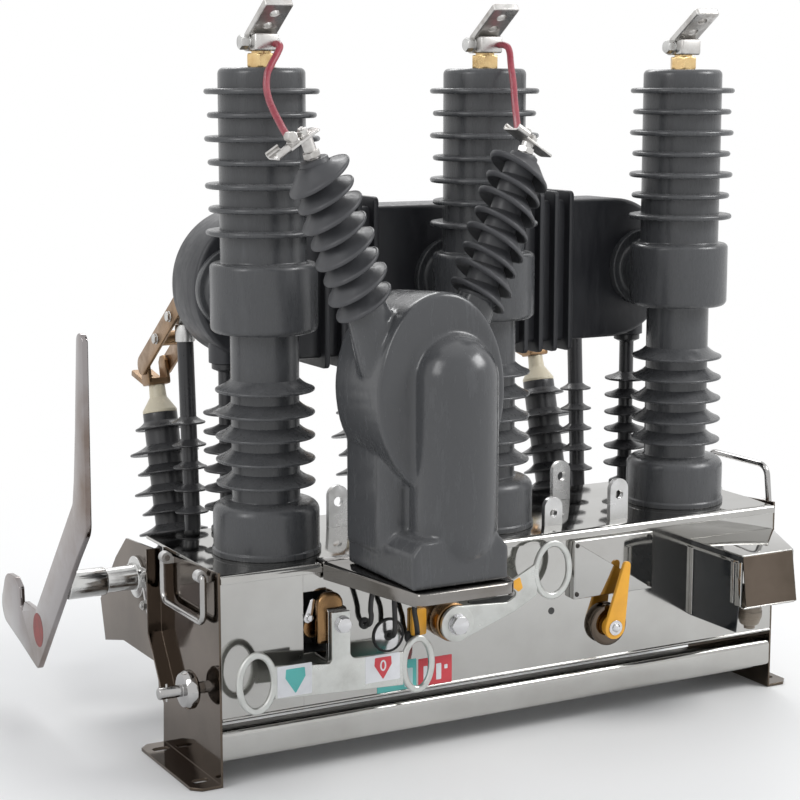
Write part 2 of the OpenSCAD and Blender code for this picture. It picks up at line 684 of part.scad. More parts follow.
module left_lead() color("firebrick") cord([
    [-329, -20.1, 961], [-329, -28, 961], [-332.6, -41.8, 957.1], [-341.5, -51.4, 947.7],
    [-352.5, -59.6, 936], [-362.6, -69.2, 925.3], [-369.2, -79.7, 917.9], [-375, -90.9, 910.6],
    [-380.1, -102.5, 903.5], [-384.1, -114.4, 896.2], [-387.3, -126.4, 888.7],
    [-389.6, -138.6, 881.2], [-391.2, -150.7, 873.4], [-392.5, -163, 865.7],
    [-394, -175.4, 858.4], [-395.5, -188.2, 851.7], [-397, -201, 845]], lead_r);

module right_lead() color("firebrick") cord([
    [12, -20.1, 963], [12, -28, 963], [10.2, -43.1, 959.8], [5.8, -56, 951.8],
    [-0.3, -67.9, 941.6], [-6.6, -80, 931.6], [-11.9, -90.9, 923.8], [-17.3, -101.9, 916.1],
    [-22.9, -112.7, 908.3], [-28.7, -123.3, 900.4], [-34.6, -133.9, 892.5],
    [-40.5, -144.6, 884.7], [-46.2, -155.4, 877.1], [-52, -166.4, 869.7], [-57.9, -177.5, 862.5],
    [-64, -188.7, 855.7], [-70, -200, 849]], lead_r);

module cable_1() color("black") cord([
    [-250, -140, 284.9], [-250, -140, 278], [-250, -140, 271], [-250, -139, 264], [-249, -137, 256],
    [-248, -133, 247], [-247, -129, 239], [-246, -125, 231], [-245, -122, 223], [-244, -120, 216],
    [-243, -120, 210], [-243, -119, 203], [-243, -116, 198], [-243, -111, 195], [-243, -104.5, 194.3]],
    cable_r, 8);

module cable_2() color("black") cord([
    [-220, -140, 284.9], [-220, -140, 278], [-220, -140, 271], [-219, -139, 263], [-218, -137, 254],
    [-216, -134, 245], [-214, -131, 236], [-212, -127, 226], [-210, -124, 217], [-208, -121, 208],
    [-207, -120, 198], [-207, -120, 189], [-207, -119, 182], [-207, -116, 177], [-207, -111, 174],
    [-207, -104.5, 173.3]], cable_r, 8);

module cable_3() color("black") cord([
    [-190, -140, 284.9], [-190, -140, 278], [-190, -140, 271], [-189, -139, 263], [-188, -138, 255],
    [-186, -135, 245], [-184, -132, 235], [-182, -128, 225], [-180, -125, 215], [-178, -122, 205],
    [-176, -121, 197], [-174, -120, 189], [-173, -120, 181], [-172, -119, 174], [-172, -116, 169],
    [-172, -111, 166], [-172, -104.5, 165.3]], cable_r, 8);

top_plate();
front_panel();
rear_panel();
bottom_pan();
left_end_plate();
right_end_plate();
base_rails();
cover_plate();
connector_hood();
connector_plug();
latch_recess();
lever_mounts();
cable_glands();
lifting_lugs();
handle_eyes();
left_pole();
mid_pole();
right_pole();
terminal_studs();
terminal_clamps();
sensor_bar();
bar_supports();
outlet_hinges();
cross_beam();
rear_posts();
post_caps();
jaw_contacts();
shaft_bearings();
vt_bracket();
vt_body();
bushings();
bushing_terminals();
left_lead();
right_lead();
cable_1();
cable_2();
cable_3();
disconnector_shaft();
operating_lever();
pull_rods();
blades();
interlock_shaft();
pull_lever();
charging_lever();
selector_lever();
left_handle();
right_handle();
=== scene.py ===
# Outdoor vacuum circuit breaker on its stainless steel housing. Shapes are worked out in
# millimetres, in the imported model's frame, and become metres where each object is made.
import bpy
import numpy as np
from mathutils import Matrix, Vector
from mathutils.geometry import tessellate_polygon


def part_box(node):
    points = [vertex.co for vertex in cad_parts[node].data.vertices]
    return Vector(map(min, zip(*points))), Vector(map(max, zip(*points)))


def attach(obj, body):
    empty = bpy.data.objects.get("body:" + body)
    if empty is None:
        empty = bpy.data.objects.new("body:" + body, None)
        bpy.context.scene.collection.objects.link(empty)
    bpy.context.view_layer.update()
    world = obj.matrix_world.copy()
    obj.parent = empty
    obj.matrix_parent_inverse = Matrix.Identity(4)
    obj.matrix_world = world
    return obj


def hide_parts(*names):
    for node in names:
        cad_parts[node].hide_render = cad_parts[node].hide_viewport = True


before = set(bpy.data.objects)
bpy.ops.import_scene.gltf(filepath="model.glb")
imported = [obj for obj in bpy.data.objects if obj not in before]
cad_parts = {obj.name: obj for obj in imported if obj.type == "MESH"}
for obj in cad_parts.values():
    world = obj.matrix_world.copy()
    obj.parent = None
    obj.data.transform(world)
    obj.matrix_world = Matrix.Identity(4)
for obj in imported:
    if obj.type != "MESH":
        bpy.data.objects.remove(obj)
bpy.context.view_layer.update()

# --- camera ---------------------------------------------------------------------------------
# A long lens to the left of the front, a little higher than the transformer's bushings.

camera = bpy.data.objects.new("camera", bpy.data.cameras.new("camera"))
camera.data.sensor_width = 36
camera.data.lens = 87.4
camera.location = (-1.412, -2.344, 0.908)
camera.rotation_euler = np.radians([90 - 9.2, 0, -28.6])
bpy.context.collection.objects.link(camera)
bpy.context.scene.camera = camera
bpy.context.scene.view_settings.view_transform = "Standard"

# --- red leads and black cables -------------------------------------------------------------
# Two silicone leads bring the line voltage down to the transformer, and three thin rubber
# cables run from under its tray into glands in the front panel. They are extruded, and limp.

routes = {
    "left_lead": [
        [-329, -20.1, 961], [-329, -28, 961], [-332.6, -41.8, 957.1], [-341.5, -51.4, 947.7],
        [-352.5, -59.6, 936], [-362.6, -69.2, 925.3], [-369.2, -79.7, 917.9],
        [-375, -90.9, 910.6], [-380.1, -102.5, 903.5], [-384.1, -114.4, 896.2],
        [-387.3, -126.4, 888.7], [-389.6, -138.6, 881.2], [-391.2, -150.7, 873.4],
        [-392.5, -163, 865.7], [-394, -175.4, 858.4], [-395.5, -188.2, 851.7],
        [-397, -201, 845]],
    "right_lead": [
        [12, -20.1, 963], [12, -28, 963], [10.2, -43.1, 959.8], [5.8, -56, 951.8],
        [-0.3, -67.9, 941.6], [-6.6, -80, 931.6], [-11.9, -90.9, 923.8], [-17.3, -101.9, 916.1],
        [-22.9, -112.7, 908.3], [-28.7, -123.3, 900.4], [-34.6, -133.9, 892.5],
        [-40.5, -144.6, 884.7], [-46.2, -155.4, 877.1], [-52, -166.4, 869.7],
        [-57.9, -177.5, 862.5], [-64, -188.7, 855.7], [-70, -200, 849]],
    "cable_1": [
        [-250, -140, 284.9], [-250, -140, 278], [-250, -140, 271], [-250, -139, 264],
        [-249, -137, 256], [-248, -133, 247], [-247, -129, 239], [-246, -125, 231],
        [-245, -122, 223], [-244, -120, 216], [-243, -120, 210], [-243, -119, 203],
        [-243, -116, 198], [-243, -111, 195], [-243, -104.5, 194.3]],
    "cable_2": [
        [-220, -140, 284.9], [-220, -140, 278], [-220, -140, 271], [-219, -139, 263],
        [-218, -137, 254], [-216, -134, 245], [-214, -131, 236], [-212, -127, 226],
        [-210, -124, 217], [-208, -121, 208], [-207, -120, 198], [-207, -120, 189],
        [-207, -119, 182], [-207, -116, 177], [-207, -111, 174], [-207, -104.5, 173.3]],
    "cable_3": [
        [-190, -140, 284.9], [-190, -140, 278], [-190, -140, 271], [-189, -139, 263],
        [-188, -138, 255], [-186, -135, 245], [-184, -132, 235], [-182, -128, 225],
        [-180, -125, 215], [-178, -122, 205], [-176, -121, 197], [-174, -120, 189],
        [-173, -120, 181], [-172, -119, 174], [-172, -116, 169], [-172, -111, 166],
        [-172, -104.5, 165.3]]}


def unit(vectors):
    """Each vector over its own length, and a zero vector as it is."""
    return vectors / np.maximum(np.linalg.norm(vectors, axis=-1, keepdims=True), 1e-12)


def through(points):
    """Smooth line through points: from p1 to p2 it is the cubic whose slopes at its ends are
    (p2 - p0) / 2 and (p3 - p1) / 2, and the two end points are carried on straight."""
    steps = 6
    p = np.asarray(points, float)
    p = np.vstack([2 * p[0] - p[1], p, 2 * p[-1] - p[-2]])
    a, b, c, d = p[:-3], p[1:-2], p[2:-1], p[3:]
    t = np.arange(steps)[:, None, None] / steps
    square = 2 * a - 5 * b + 4 * c - d
    cube = 3 * b - a - 3 * c + d
    line = b + ((c - a) * t + square * t**2 + cube * t**3) / 2
    return np.vstack([line.transpose(1, 0, 2).reshape(-1, p.shape[1]), p[-2]])


def circle(radius, sides):
    """Points at equal angles on a circle: (r cos a, r sin a)."""
    a = np.arange(sides) * 2 * np.pi / sides
    return radius * np.stack([np.cos(a), np.sin(a)], 1)


def skin(rows, ring=False):
    """Closed surface over a grid of points (rows, columns, 3). Columns wrap round. The rows
    wrap too where ring is set, or else a flat face closes each end. Its volume, a sum of
    a . (b x c) / 6 over its triangles, tells whether its faces have to be turned."""
    count, around = rows.shape[:2]
    here, step = np.meshgrid(np.arange(count if ring else count - 1), np.arange(around),
                             indexing="ij")
    beside, after = (step + 1) % around, (here + 1) % count
    faces = np.stack([here * around + step, here * around + beside,
                      after * around + beside, after * around + step], -1).reshape(-1, 4)
    points = rows.reshape(-1, 3)
    a, b, c, d = (points[faces[:, k]] - points.mean(0) for k in range(4))
    volume = np.sum(a * np.cross(b, c)) + np.sum(a * np.cross(c, d))
    faces = faces.tolist()
    if not ring:
        lids = [list(range(around))[::-1], list(range((count - 1) * around, count * around))]
        for lid in lids:
            p = points[lid] - points.mean(0)
            volume += np.sum(p[0] * np.cross(p[1:-1], p[2:]))
        faces += lids
    return points, [face[::-1] for face in faces] if volume < 0 else faces


def sweep(line, section, side=(1, 0, 0), ring=False):
    """An outline carried along a line: point (i, k) is line_i + a_k u_i + b_k v_i, where
    u = unit(run x side) and v = run x u span the plane across the line's run."""
    line = np.asarray(line, float)
    run = unit(np.roll(line, -1, 0) - np.roll(line, 1, 0) if ring else np.gradient(line, axis=0))
    u = unit(np.cross(run, side))
    v = np.cross(run, u)
    return skin(line[:, None] + section[:, :1] * u[:, None] + section[:, 1:] * v[:, None], ring)


crease = np.radians(32)


def piece(name, surfaces, material, body, slot, *nodes):
    """One object from several closed surfaces, moved from millimetres to metres, smooth but
    for edges sharper than the crease angle. It rides on a body and stands for CAD nodes."""
    first = np.cumsum([0] + [len(points) for points, _ in surfaces])
    faces = [[v + start for v in face] for start, (_, shape) in zip(first, surfaces)
             for face in shape]
    mesh = bpy.data.meshes.new(name)
    mesh.from_pydata(np.vstack([points for points, _ in surfaces]) / 1000, [], faces)
    mesh.polygons.foreach_set("use_smooth", np.array([len(face) == 4 for face in faces]))
    mesh.set_sharp_from_angle(angle=crease)
    mesh.materials.append(material)
    made = bpy.data.objects.new(name, mesh)
    bpy.context.collection.objects.link(made)
    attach(made, body)
    if nodes:
        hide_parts(*nodes)
    return made


def finish(name, colour, roughness, metallic=0.0):
    """New material: one shader, with its constant numbers on its own sockets."""
    made = bpy.data.materials.new(name)
    made.use_nodes = True
    sockets = made.node_tree.nodes["Principled BSDF"].inputs
    sockets["Base Color"].default_value = (*colour, 1)
    sockets["Roughness"].default_value = roughness
    sockets["Metallic"].default_value = metallic
    return made


def add(material, kind, links=(), **values):
    """New node of a material, with some of its sockets linked and others set."""
    node = material.node_tree.nodes.new("ShaderNode" + kind)
    for socket, source in links:
        material.node_tree.links.new(source, node.inputs[socket])
    for socket, value in values.items():
        node.inputs[socket.replace("_", " ")].default_value = value
    return node


def pattern(material, scale, stretch=(1, 1, 1), **values):
    """Output of a noise on Object coordinates, with `scale` waves a metre, fewer along an
    axis whose stretch is under 1."""
    place = add(material, "TexCoord").outputs["Object"]
    place = add(material, "Mapping", [("Vector", place)], Scale=stretch).outputs["Vector"]
    return add(material, "TexNoise", [("Vector", place)], Scale=scale, **values).outputs[0]


def ranged(material, source, low, high, start=0.35, end=0.65):
    """Output that runs from low to high while source runs from start to end."""
    return add(material, "MapRange", [("Value", source)], From_Min=start, From_Max=end,
               To_Min=low, To_Max=high).outputs["Result"]


def feed(material, socket, source):
    """Links an output to one of the shader's sockets."""
    shader = material.node_tree.nodes["Principled BSDF"]
    material.node_tree.links.new(source, shader.inputs[socket])


def tint(material, source, colour, start, end):
    """Mixes the base colour so far with another, fully where source reaches `end`."""
    base = material.node_tree.nodes["Principled BSDF"].inputs["Base Color"]
    mix = add(material, "Mix", [("Factor", ranged(material, source, 0, 1, start, end))])
    mix.data_type = "RGBA"
    mix.inputs[6].default_value = base.default_value
    if base.is_linked:
        material.node_tree.links.new(base.links[0].from_socket, mix.inputs[6])
    mix.inputs[7].default_value = (*colour, 1)
    feed(material, "Base Color", mix.outputs[2])


def relief(material, source, height):
    """Bump of so many millimetres from source, on top of any bump already there."""
    normal = material.node_tree.nodes["Principled BSDF"].inputs["Normal"]
    under = [("Normal", normal.links[0].from_socket)] if normal.is_linked else []
    bump = add(material, "Bump", [("Height", source), *under], Distance=height / 1000)
    feed(material, "Normal", bump.outputs["Normal"])


def cord_finish(name, colour, worn, roughness):
    """Rubber or silicone sheath: faint mottling, a dull bloom and fine bumps along it."""
    made = finish(name, colour, roughness)
    mottle = pattern(made, 60, Detail=3)
    tint(made, mottle, worn, 0.45, 0.75)
    feed(made, "Roughness", ranged(made, mottle, roughness - 0.1, roughness + 0.12))
    relief(made, pattern(made, 700, Detail=2), 0.05)
    return made


lead_silicone = cord_finish("lead_silicone", (0.26, 0.016, 0.035), (0.34, 0.05, 0.07), 0.36)
cable_rubber = cord_finish("cable_rubber", (0.012, 0.012, 0.013), (0.035, 0.034, 0.033), 0.48)
for names, radius, sides, sheath, slot in [
        (("left_lead", "right_lead"), 4.5, 24, lead_silicone, "red_lead"),
        (("cable_1", "cable_2", "cable_3"), 3.5, 16, cable_rubber, "black_cable")]:
    for name in names:
        line = through(routes[name])
        cord = piece(name + "_sheath", [sweep(line, circle(radius, sides))], sheath, "housing",
                     slot, name)

# --- floor and studio light -----------------------------------------------------------------
# A pale floor keeps the object's shadow and fades into a white backdrop. One broad soft light
# comes from the right front and weaker ones from the left and the back, under an even sky.

floor_reach = 30.0
floor_mesh = bpy.data.meshes.new("floor")
floor_mesh.from_pydata([(x, y, -0.0005) for x, y in floor_reach * np.array(
    [[-1, -1], [1, -1], [1, 1], [-1, 1]])], [], [[0, 1, 2, 3]])
floor = bpy.data.objects.new("floor", floor_mesh)
bpy.context.collection.objects.link(floor)
floor_paint = finish("floor_paint", (0.86, 0.86, 0.85), 0.55)
floor_mesh.materials.append(floor_paint)


def seen_rays(holder):
    """One for rays that come from the camera, a gloss or a clear surface, and else zero."""
    rays = add(holder, "LightPath").outputs
    total = rays["Is Camera Ray"]
    for kind in ("Is Glossy Ray", "Is Transmission Ray"):
        both = add(holder, "Math", [(0, total), (1, rays[kind])])
        both.use_clamp = True
        total = both.outputs[0]
    return total


def mix_in(holder, share, first, second, output):
    """Sends a mix of two shaders to an output: the first at share 0, the second at 1."""
    nodes = holder.node_tree.nodes
    mix = add(holder, "MixShader", [(0, share), (1, nodes[first].outputs[0]),
                                    (2, second.outputs[0])])
    holder.node_tree.links.new(mix.outputs[0], nodes[output].inputs["Surface"])


fade_from, fade_to = 0.75, 1.9
place = add(floor_paint, "TexCoord").outputs["Object"]
far = add(floor_paint, "VectorMath", [("Vector", place)])
far.operation = "LENGTH"
share = ranged(floor_paint, far.outputs["Value"], 0, 1, fade_from, fade_to)
white_share = add(floor_paint, "Math", [(0, share), (1, seen_rays(floor_paint))])
white_share.operation = "MULTIPLY"
white_floor = add(floor_paint, "Emission", Color=(1, 1, 1, 1), Strength=1.0)
mix_in(floor_paint, white_share.outputs[0], "Principled BSDF", white_floor, "Material Output")

sky = bpy.data.worlds.new("sky")
sky.use_nodes = True
bpy.context.scene.world = sky
sky_light = sky.node_tree.nodes["Background"].inputs
sky_light["Color"].default_value = (0.93, 0.95, 1.0, 1)
sky_light["Strength"].default_value = 0.62
white_sky = add(sky, "Background", Color=(1, 1, 1, 1), Strength=1.0)
mix_in(sky, seen_rays(sky), "Background", white_sky, "World Output")


def softbox(name, azimuth, elevation, distance, width, height, power):
    """Area light aimed at the middle of the object from a direction: azimuth 0 is the front,
    and 90 is the right."""
    aim = np.array([0, 0.1, 0.45])
    a, e = np.radians([azimuth, elevation])
    lamp = bpy.data.lights.new(name, "AREA")
    lamp.shape = "RECTANGLE"
    lamp.size, lamp.size_y, lamp.energy = width, height, power
    light = bpy.data.objects.new(name, lamp)
    back = np.array([np.sin(a) * np.cos(e), -np.cos(a) * np.cos(e), np.sin(e)])
    light.location = aim + distance * back
    light.rotation_euler = (np.pi / 2 - e, 0, a)
    bpy.context.collection.objects.link(light)


softbox("key_light", 50, 38, 3.2, 1.6, 1.2, 60)
softbox("side_light", -75, 30, 3.2, 1.0, 1.6, 22)
softbox("back_light", 165, 45, 3.4, 2.0, 1.2, 40)

# --- folded steel of the housing --------------------------------------------------------------
# Top plate, tray with front and rear walls, and two channels, folded from polished stainless
# sheet: mirror bright, slightly wavy, brushed along X, with handling marks and round folds.

fold_radius = 6
sheet = 3


def corners(node):
    """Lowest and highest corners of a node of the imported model, in millimetres."""
    low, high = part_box(node)
    return np.array(low) * 1000, np.array(high) * 1000


def rounded(points, radius, steps=5, closed=True):
    """Outline whose corners become arcs. With h half the angle between a corner's sides, an
    arc of radius r starts r / tan h from the corner, and its centre is r / sin h away."""
    p = np.asarray(points, float)
    before, after = np.roll(p, 1, 0) - p, np.roll(p, -1, 0) - p
    u, v = unit(before), unit(after)
    half = np.arccos(np.clip(np.sum(u * v, 1), -1, 1)) / 2
    room = np.minimum(np.linalg.norm(before, axis=1), np.linalg.norm(after, axis=1)) * 0.49
    radius = np.minimum(radius, room * np.tan(half))
    start = p + u * (radius / np.tan(half))[:, None]
    centre = p + unit(u + v) * (radius / np.sin(half))[:, None]
    turn = np.linspace(0, 1, steps + 1)[:, None, None] * (np.pi - 2 * half)[:, None]
    arcs = centre + (start - centre) * np.cos(turn) - radius[:, None] * u * np.sin(turn)
    arcs = arcs.transpose(1, 0, 2)
    if closed:
        return arcs.reshape(-1, p.shape[1])
    return np.vstack([p[0], arcs[1:-1].reshape(-1, p.shape[1]), p[-1]])


def rectangle(low, high, radius=1.5, steps=3):
    """Outline of a rectangle with rounded corners."""
    (a, b), (c, d) = low, high
    return rounded([(a, b), (c, b), (c, d), (a, d)], radius, steps)


def thickened(line, thickness):
    """Section of a sheet: its middle line, moved half of the thickness to each side."""
    run = unit(np.gradient(line, axis=0))
    across = np.stack([-run[:, 1], run[:, 0]], 1) * thickness / 2
    return np.vstack([line + across, (line - across)[::-1]])


def bent_sheet(line, thickness=sheet, radius=fold_radius):
    """Section of a folded sheet, whose folds are round."""
    return thickened(rounded(line, radius, closed=False), thickness)


def inset(outline, distance):
    """Outline moved inwards: a corner goes d (n1 + n2) / (1 + n1 . n2), where n1 and n2 are
    the inward normals of its two sides."""
    x, y = outline.T
    turn = np.sign(np.sum(x * np.roll(y, -1) - np.roll(x, -1) * y))
    side = unit(np.roll(outline, -1, 0) - outline)
    inward = turn * np.stack([-side[:, 1], side[:, 0]], 1)
    before = np.roll(inward, 1, 0)
    return outline + distance * (inward + before) / (1 + np.sum(inward * before, 1))[:, None]


def extruded(outline, low, high, origin=(0, 0, 0), u=(1, 0, 0), v=(0, 1, 0), edge=0.0):
    """An outline in the plane of u and v, thickened from low to high along u x v. Its rims are
    quarter circles: at angle q the outline is inset by e (1 - sin q), at depth e (1 - cos q)."""
    q = np.linspace(0, np.pi / 2, 4) if edge else np.array([np.pi / 2])
    inwards, depth = edge * (1 - np.sin(q)), edge * (1 - np.cos(q))
    levels = [(low + z, d) for z, d in zip(depth, inwards)]
    levels += [(high - z, d) for z, d in zip(depth[::-1], inwards[::-1])]
    u, v, origin = (np.array(axis, float) for axis in (u, v, origin))
    return skin(np.array([origin + z * np.cross(u, v) + inset(outline, d) @ np.array([u, v])
                          for z, d in levels]))


def along_x(outline, low, high, edge=0.0):
    """An outline in Y and Z, thickened from low to high along X."""
    return extruded(outline, low, high, u=(0, 1, 0), v=(0, 0, 1), edge=edge)


def frontal(outline, back, front, edge):
    """An outline in X and Z, thickened from the plane Y = back forward to Y = front."""
    return extruded(outline, -back, -front, u=(1, 0, 0), v=(0, 0, 1), edge=edge)


def soften(material, radius):
    """Rounds the edges in the shading, by a radius in metres."""
    bevel = add(material, "Bevel", Radius=radius)
    bevel.samples = 4
    feed(material, "Normal", bevel.outputs["Normal"])


def sheet_steel(name, colour, grain, smear):
    """Polished sheet: brushed fine lines along one axis, cloudy handling marks, long waves
    that bend the reflections, and bright softened edges."""
    made = finish(name, colour, 0.07, metallic=1.0)
    soften(made, 0.0012)
    cloud = pattern(made, 7, Detail=5, Roughness=0.6)
    tint(made, cloud, smear, 0.42, 0.72)
    feed(made, "Roughness", ranged(made, cloud, 0.035, 0.12))
    relief(made, pattern(made, 260, grain, Detail=2), 0.006)
    relief(made, pattern(made, 4, Detail=1), 0.3)
    return made


def paint(material, *nodes):
    """Gives CAD nodes that keep their shape a better material."""
    for node in nodes:
        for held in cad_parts[node].material_slots:
            held.material = material


panel_steel = sheet_steel("panel_steel", (0.46, 0.455, 0.44), (0.04, 1, 1), (0.4, 0.393, 0.375))
tray_low, tray_high = corners("front_panel")
pan_low = corners("bottom_pan")[0]
window_low, window_high = corners("latch_recess")
wall_x = [tray_low[0], window_low[0] + 3, window_high[0] - 3, tray_high[0]]
window_z = [window_low[2] + 3, window_high[2] - 3]
middle = sheet / 2
wall_y = pan_low[1] + middle
floor_z = pan_low[2] + middle
wall_top = tray_high[2]


def tray_section(front_top):
    """U of the tray in Y and Z, whose front wall ends at front_top."""
    return bent_sheet([(wall_y, front_top), (wall_y, floor_z), (-wall_y, floor_z),
                       (-wall_y, wall_top)])


over_window = rectangle((wall_y - middle, window_z[1]), (wall_y + middle, wall_top), 0.5, 5)
bead = rectangle((wall_y, floor_z + 2), (wall_y - 3.5, floor_z + 5.5), 1.6, 4)
piece("folded_tray", [along_x(tray_section(wall_top), wall_x[0], wall_x[1]),
                      along_x(tray_section(window_z[0]), wall_x[1], wall_x[2]),
                      along_x(over_window, wall_x[1], wall_x[2]),
                      along_x(tray_section(wall_top), wall_x[2], wall_x[3]),
                      along_x(bead, wall_x[0], wall_x[3])],
      panel_steel, "housing", "polished_steel", "front_panel", "bottom_pan", "rear_panel")

top_low, top_high = corners("top_plate")
piece("top_sheet", [along_x(bent_sheet([(top_high[1], top_high[2] - 2),
                                        (top_low[1] + 2, top_high[2] - 2),
                                        (top_low[1] + 2, top_low[2])], 4, fold_radius),
                            top_low[0], top_high[0])],
      panel_steel, "housing", "polished_steel", "top_plate")

rail_low, rail_high = corners("base_rails")
channel_depth = 28
channel = bent_sheet([(rail_low[1] + channel_depth, rail_high[2] - middle),
                      (rail_low[1] + middle, rail_high[2] - middle),
                      (rail_low[1] + middle, rail_low[2] + middle),
                      (rail_low[1] + channel_depth, rail_low[2] + middle)])
piece("channels", [along_x(channel, rail_low[0], rail_high[0]),
                   along_x(channel * (-1, 1), rail_low[0], rail_high[0])],
      panel_steel, "housing", "polished_steel", "base_rails")

# --- end plates -------------------------------------------------------------------------------
# Thick plates with feet folded out, brushed upright, and painted darker and browner than the
# front: a painted reflection of dark brown surroundings in the polished steel.

# Painted reflection: this dark brown steel stands for dark surroundings mirrored in the end
# plates; the selector boss and the hood front take it too.
brown_reflection_steel = sheet_steel("brown_reflection_steel", (0.14, 0.112, 0.09), (1, 1, 0.04), (0.085, 0.068, 0.052))
fitting_steel = sheet_steel("fitting_steel", (0.42, 0.415, 0.41), (1, 1, 1), (0.33, 0.32, 0.31))
paint(brown_reflection_steel, "left_end_plate", "right_end_plate")
paint(fitting_steel, "cross_beam")

# --- poles ------------------------------------------------------------------------------------
# Cast epoxy poles, each with a foot, five drooping lower sheds, a bulge round the current
# sensor's outlet, seven flatter upper sheds and a round-shouldered cap; a neck runs back.


def lathe(profile, base, axis=(0, 0, 1), sides=96):
    """Points (radius, height) turned about an axis: base + r (u cos a + v sin a) + h axis."""
    axis = unit(np.array(axis, float))
    u = unit(np.cross(axis, (1, 0, 0) if abs(axis[0]) < 0.9 else (0, 1, 0)))
    p = np.asarray(profile, float)
    ring = circle(1, sides) @ np.array([u, np.cross(axis, u)])
    return skin(np.array(base) + p[:, :1, None] * ring + p[:, 1:, None] * axis)


def turned(points, radius, steps, base, axis, sides):
    """Profile with rounded corners, turned about an axis."""
    return lathe(rounded(points, radius, steps, False), base, axis, sides)


def shed(core, rim, height, droop, thick=4.4, root=13):
    """A shed's profile, from its underside to its top. At share s of the way out its middle
    has dropped by droop s, and each face stands t / 2 + (root - t) (1 - s)^3 / 2 from it;
    the rim is a half circle."""
    s = np.array([0, 0.06, 0.15, 0.3, 0.6, 1])
    out = core + (rim - thick / 2 - core) * s
    fall = height - droop * s
    half = thick / 2 + (root - thick) * (1 - s) ** 3 / 2
    nose = np.linspace(-np.pi / 2, np.pi / 2, 7)[1:-1]
    tip = np.stack([out[-1] + thick / 2 * np.cos(nose), fall[-1] + thick / 2 * np.sin(nose)], 1)
    return np.vstack([np.stack([out, fall - half], 1), tip,
                      np.stack([out, fall + half], 1)[::-1]])


def shed_row(core, rims, low, high, count, droop, **shape):
    """Profile of a row of sheds from height low to high, whose rims take turns."""
    return np.vstack([shed(core, rims[i % len(rims)], h, droop, **shape)
                      for i, h in enumerate(np.linspace(low, high, count))])


def epoxy(name, colour, dusty, roughness=0.27):
    """Cast resin: glossy, faintly mottled, with orange peel, fine scuffs that dull it, and
    pale dust on faces that look up."""
    made = finish(name, colour, roughness)
    cloud = pattern(made, 16, Detail=4)
    scuffs = pattern(made, 90, (1, 1, 0.2), Detail=6, Roughness=0.7)
    up = add(made, "SeparateXYZ", [("Vector", add(made, "NewGeometry").outputs["Normal"])])
    dust = add(made, "Math", [(0, ranged(made, up.outputs["Z"], 0, 1, 0.55, 0.95)),
                              (1, ranged(made, cloud, 0.25, 1))])
    dust.operation = "MULTIPLY"
    tint(made, scuffs, [c * 1.35 for c in colour], 0.55, 0.8)
    tint(made, dust.outputs[0], dusty, 0, 2.2)
    feed(made, "Roughness", ranged(made, scuffs, roughness - 0.07, roughness + 0.12))
    relief(made, pattern(made, 420, Detail=1), 0.02)
    relief(made, cloud, 0.25)
    return made


pole_epoxy = epoxy("pole_epoxy", (0.062, 0.064, 0.067), (0.2, 0.2, 0.2))
pole_nodes = ["left_pole", "mid_pole", "right_pole"]
pole_x = [(corners(node)[0][0] + corners(node)[1][0]) / 2 for node in pole_nodes]
pole_foot = corners("mid_pole")[0][2]
pole_height = corners("mid_pole")[1][2] - pole_foot
neck_end = corners("mid_pole")[1][1]
outlet_height = 348
pole_profile = np.vstack([
    rounded([(20, 0), (74, 0), (74, 7), (72, 9), (72, 69), (46, 72), (46, 84)],
            [0, 1.5, 2, 2, 22, 3, 0], 8, False)[1:],
    shed_row(46, [67], 104, 230, 5, 8),
    rounded([(46, 252), (46, 299), (72, 299), (72, 392), (57.5, 392), (57.5, 410)],
            [0, 4, 9, 9, 3, 0], 6, False),
    shed_row(57.5, [76, 72], 433, 616.6, 7, 1.2, thick=7.6, root=6),
    rounded([(57.5, 630), (57.5, pole_height), (20, pole_height)], 12, 8, False)])
neck_points = [(30, 0), (44, 0), (44, neck_end - 14), (58, neck_end - 12),
               (58, neck_end - 0.2), (30, neck_end - 0.2)]
for node, x in zip(pole_nodes, pole_x):
    neck = turned(neck_points, [0, 0, 8, 3, 1, 0], 5, (x, 0, pole_foot + outlet_height),
                  (0, 1, 0), 64)
    piece(node + "_casting", [lathe(pole_profile, (x, 0, pole_foot)), neck], pole_epoxy,
          "housing", "insulator", node)

# --- sensor bar -------------------------------------------------------------------------------
# Black moulded case that joins the three outlets: a flat bar with round ends, two sets of
# cooling fins, and blade outlets at the back, held up by thin shed insulators.

bar_plastic = epoxy("bar_plastic", (0.026, 0.027, 0.031), (0.12, 0.12, 0.125), 0.42)
bar_low, bar_high = corners("sensor_bar")
fin_reach = 14
fin_pitch = 26
fin_groups = [(pole_x[0] + pole_x[1]) / 2 + 5, (pole_x[1] + pole_x[2]) / 2 - 5]
bar_y = [bar_low[1] + fin_reach, bar_high[1] - fin_reach]
bar_z = [bar_low[2] + fin_reach, bar_high[2] - fin_reach]
bar_outline = rectangle((bar_low[0], bar_z[0]), (bar_high[0], bar_z[1]), 105.9, 24)
fin_outline = rectangle(bar_low[1:], bar_high[1:], 8, 4)
fins = [along_x(fin_outline, x + fin_pitch * i - 4, x + fin_pitch * i + 4, 1.5)
        for x in fin_groups for i in np.arange(4) - 1.5]
bosses = [lathe([(24, 0), (24, 40)], (x, 130, bar_low[2] + fin_reach), sides=48) for x in pole_x]
piece("sensor_case", [frontal(bar_outline, bar_y[1], bar_y[0], 7), *fins, *bosses],
      bar_plastic, "housing", "bar_housing", "sensor_bar")

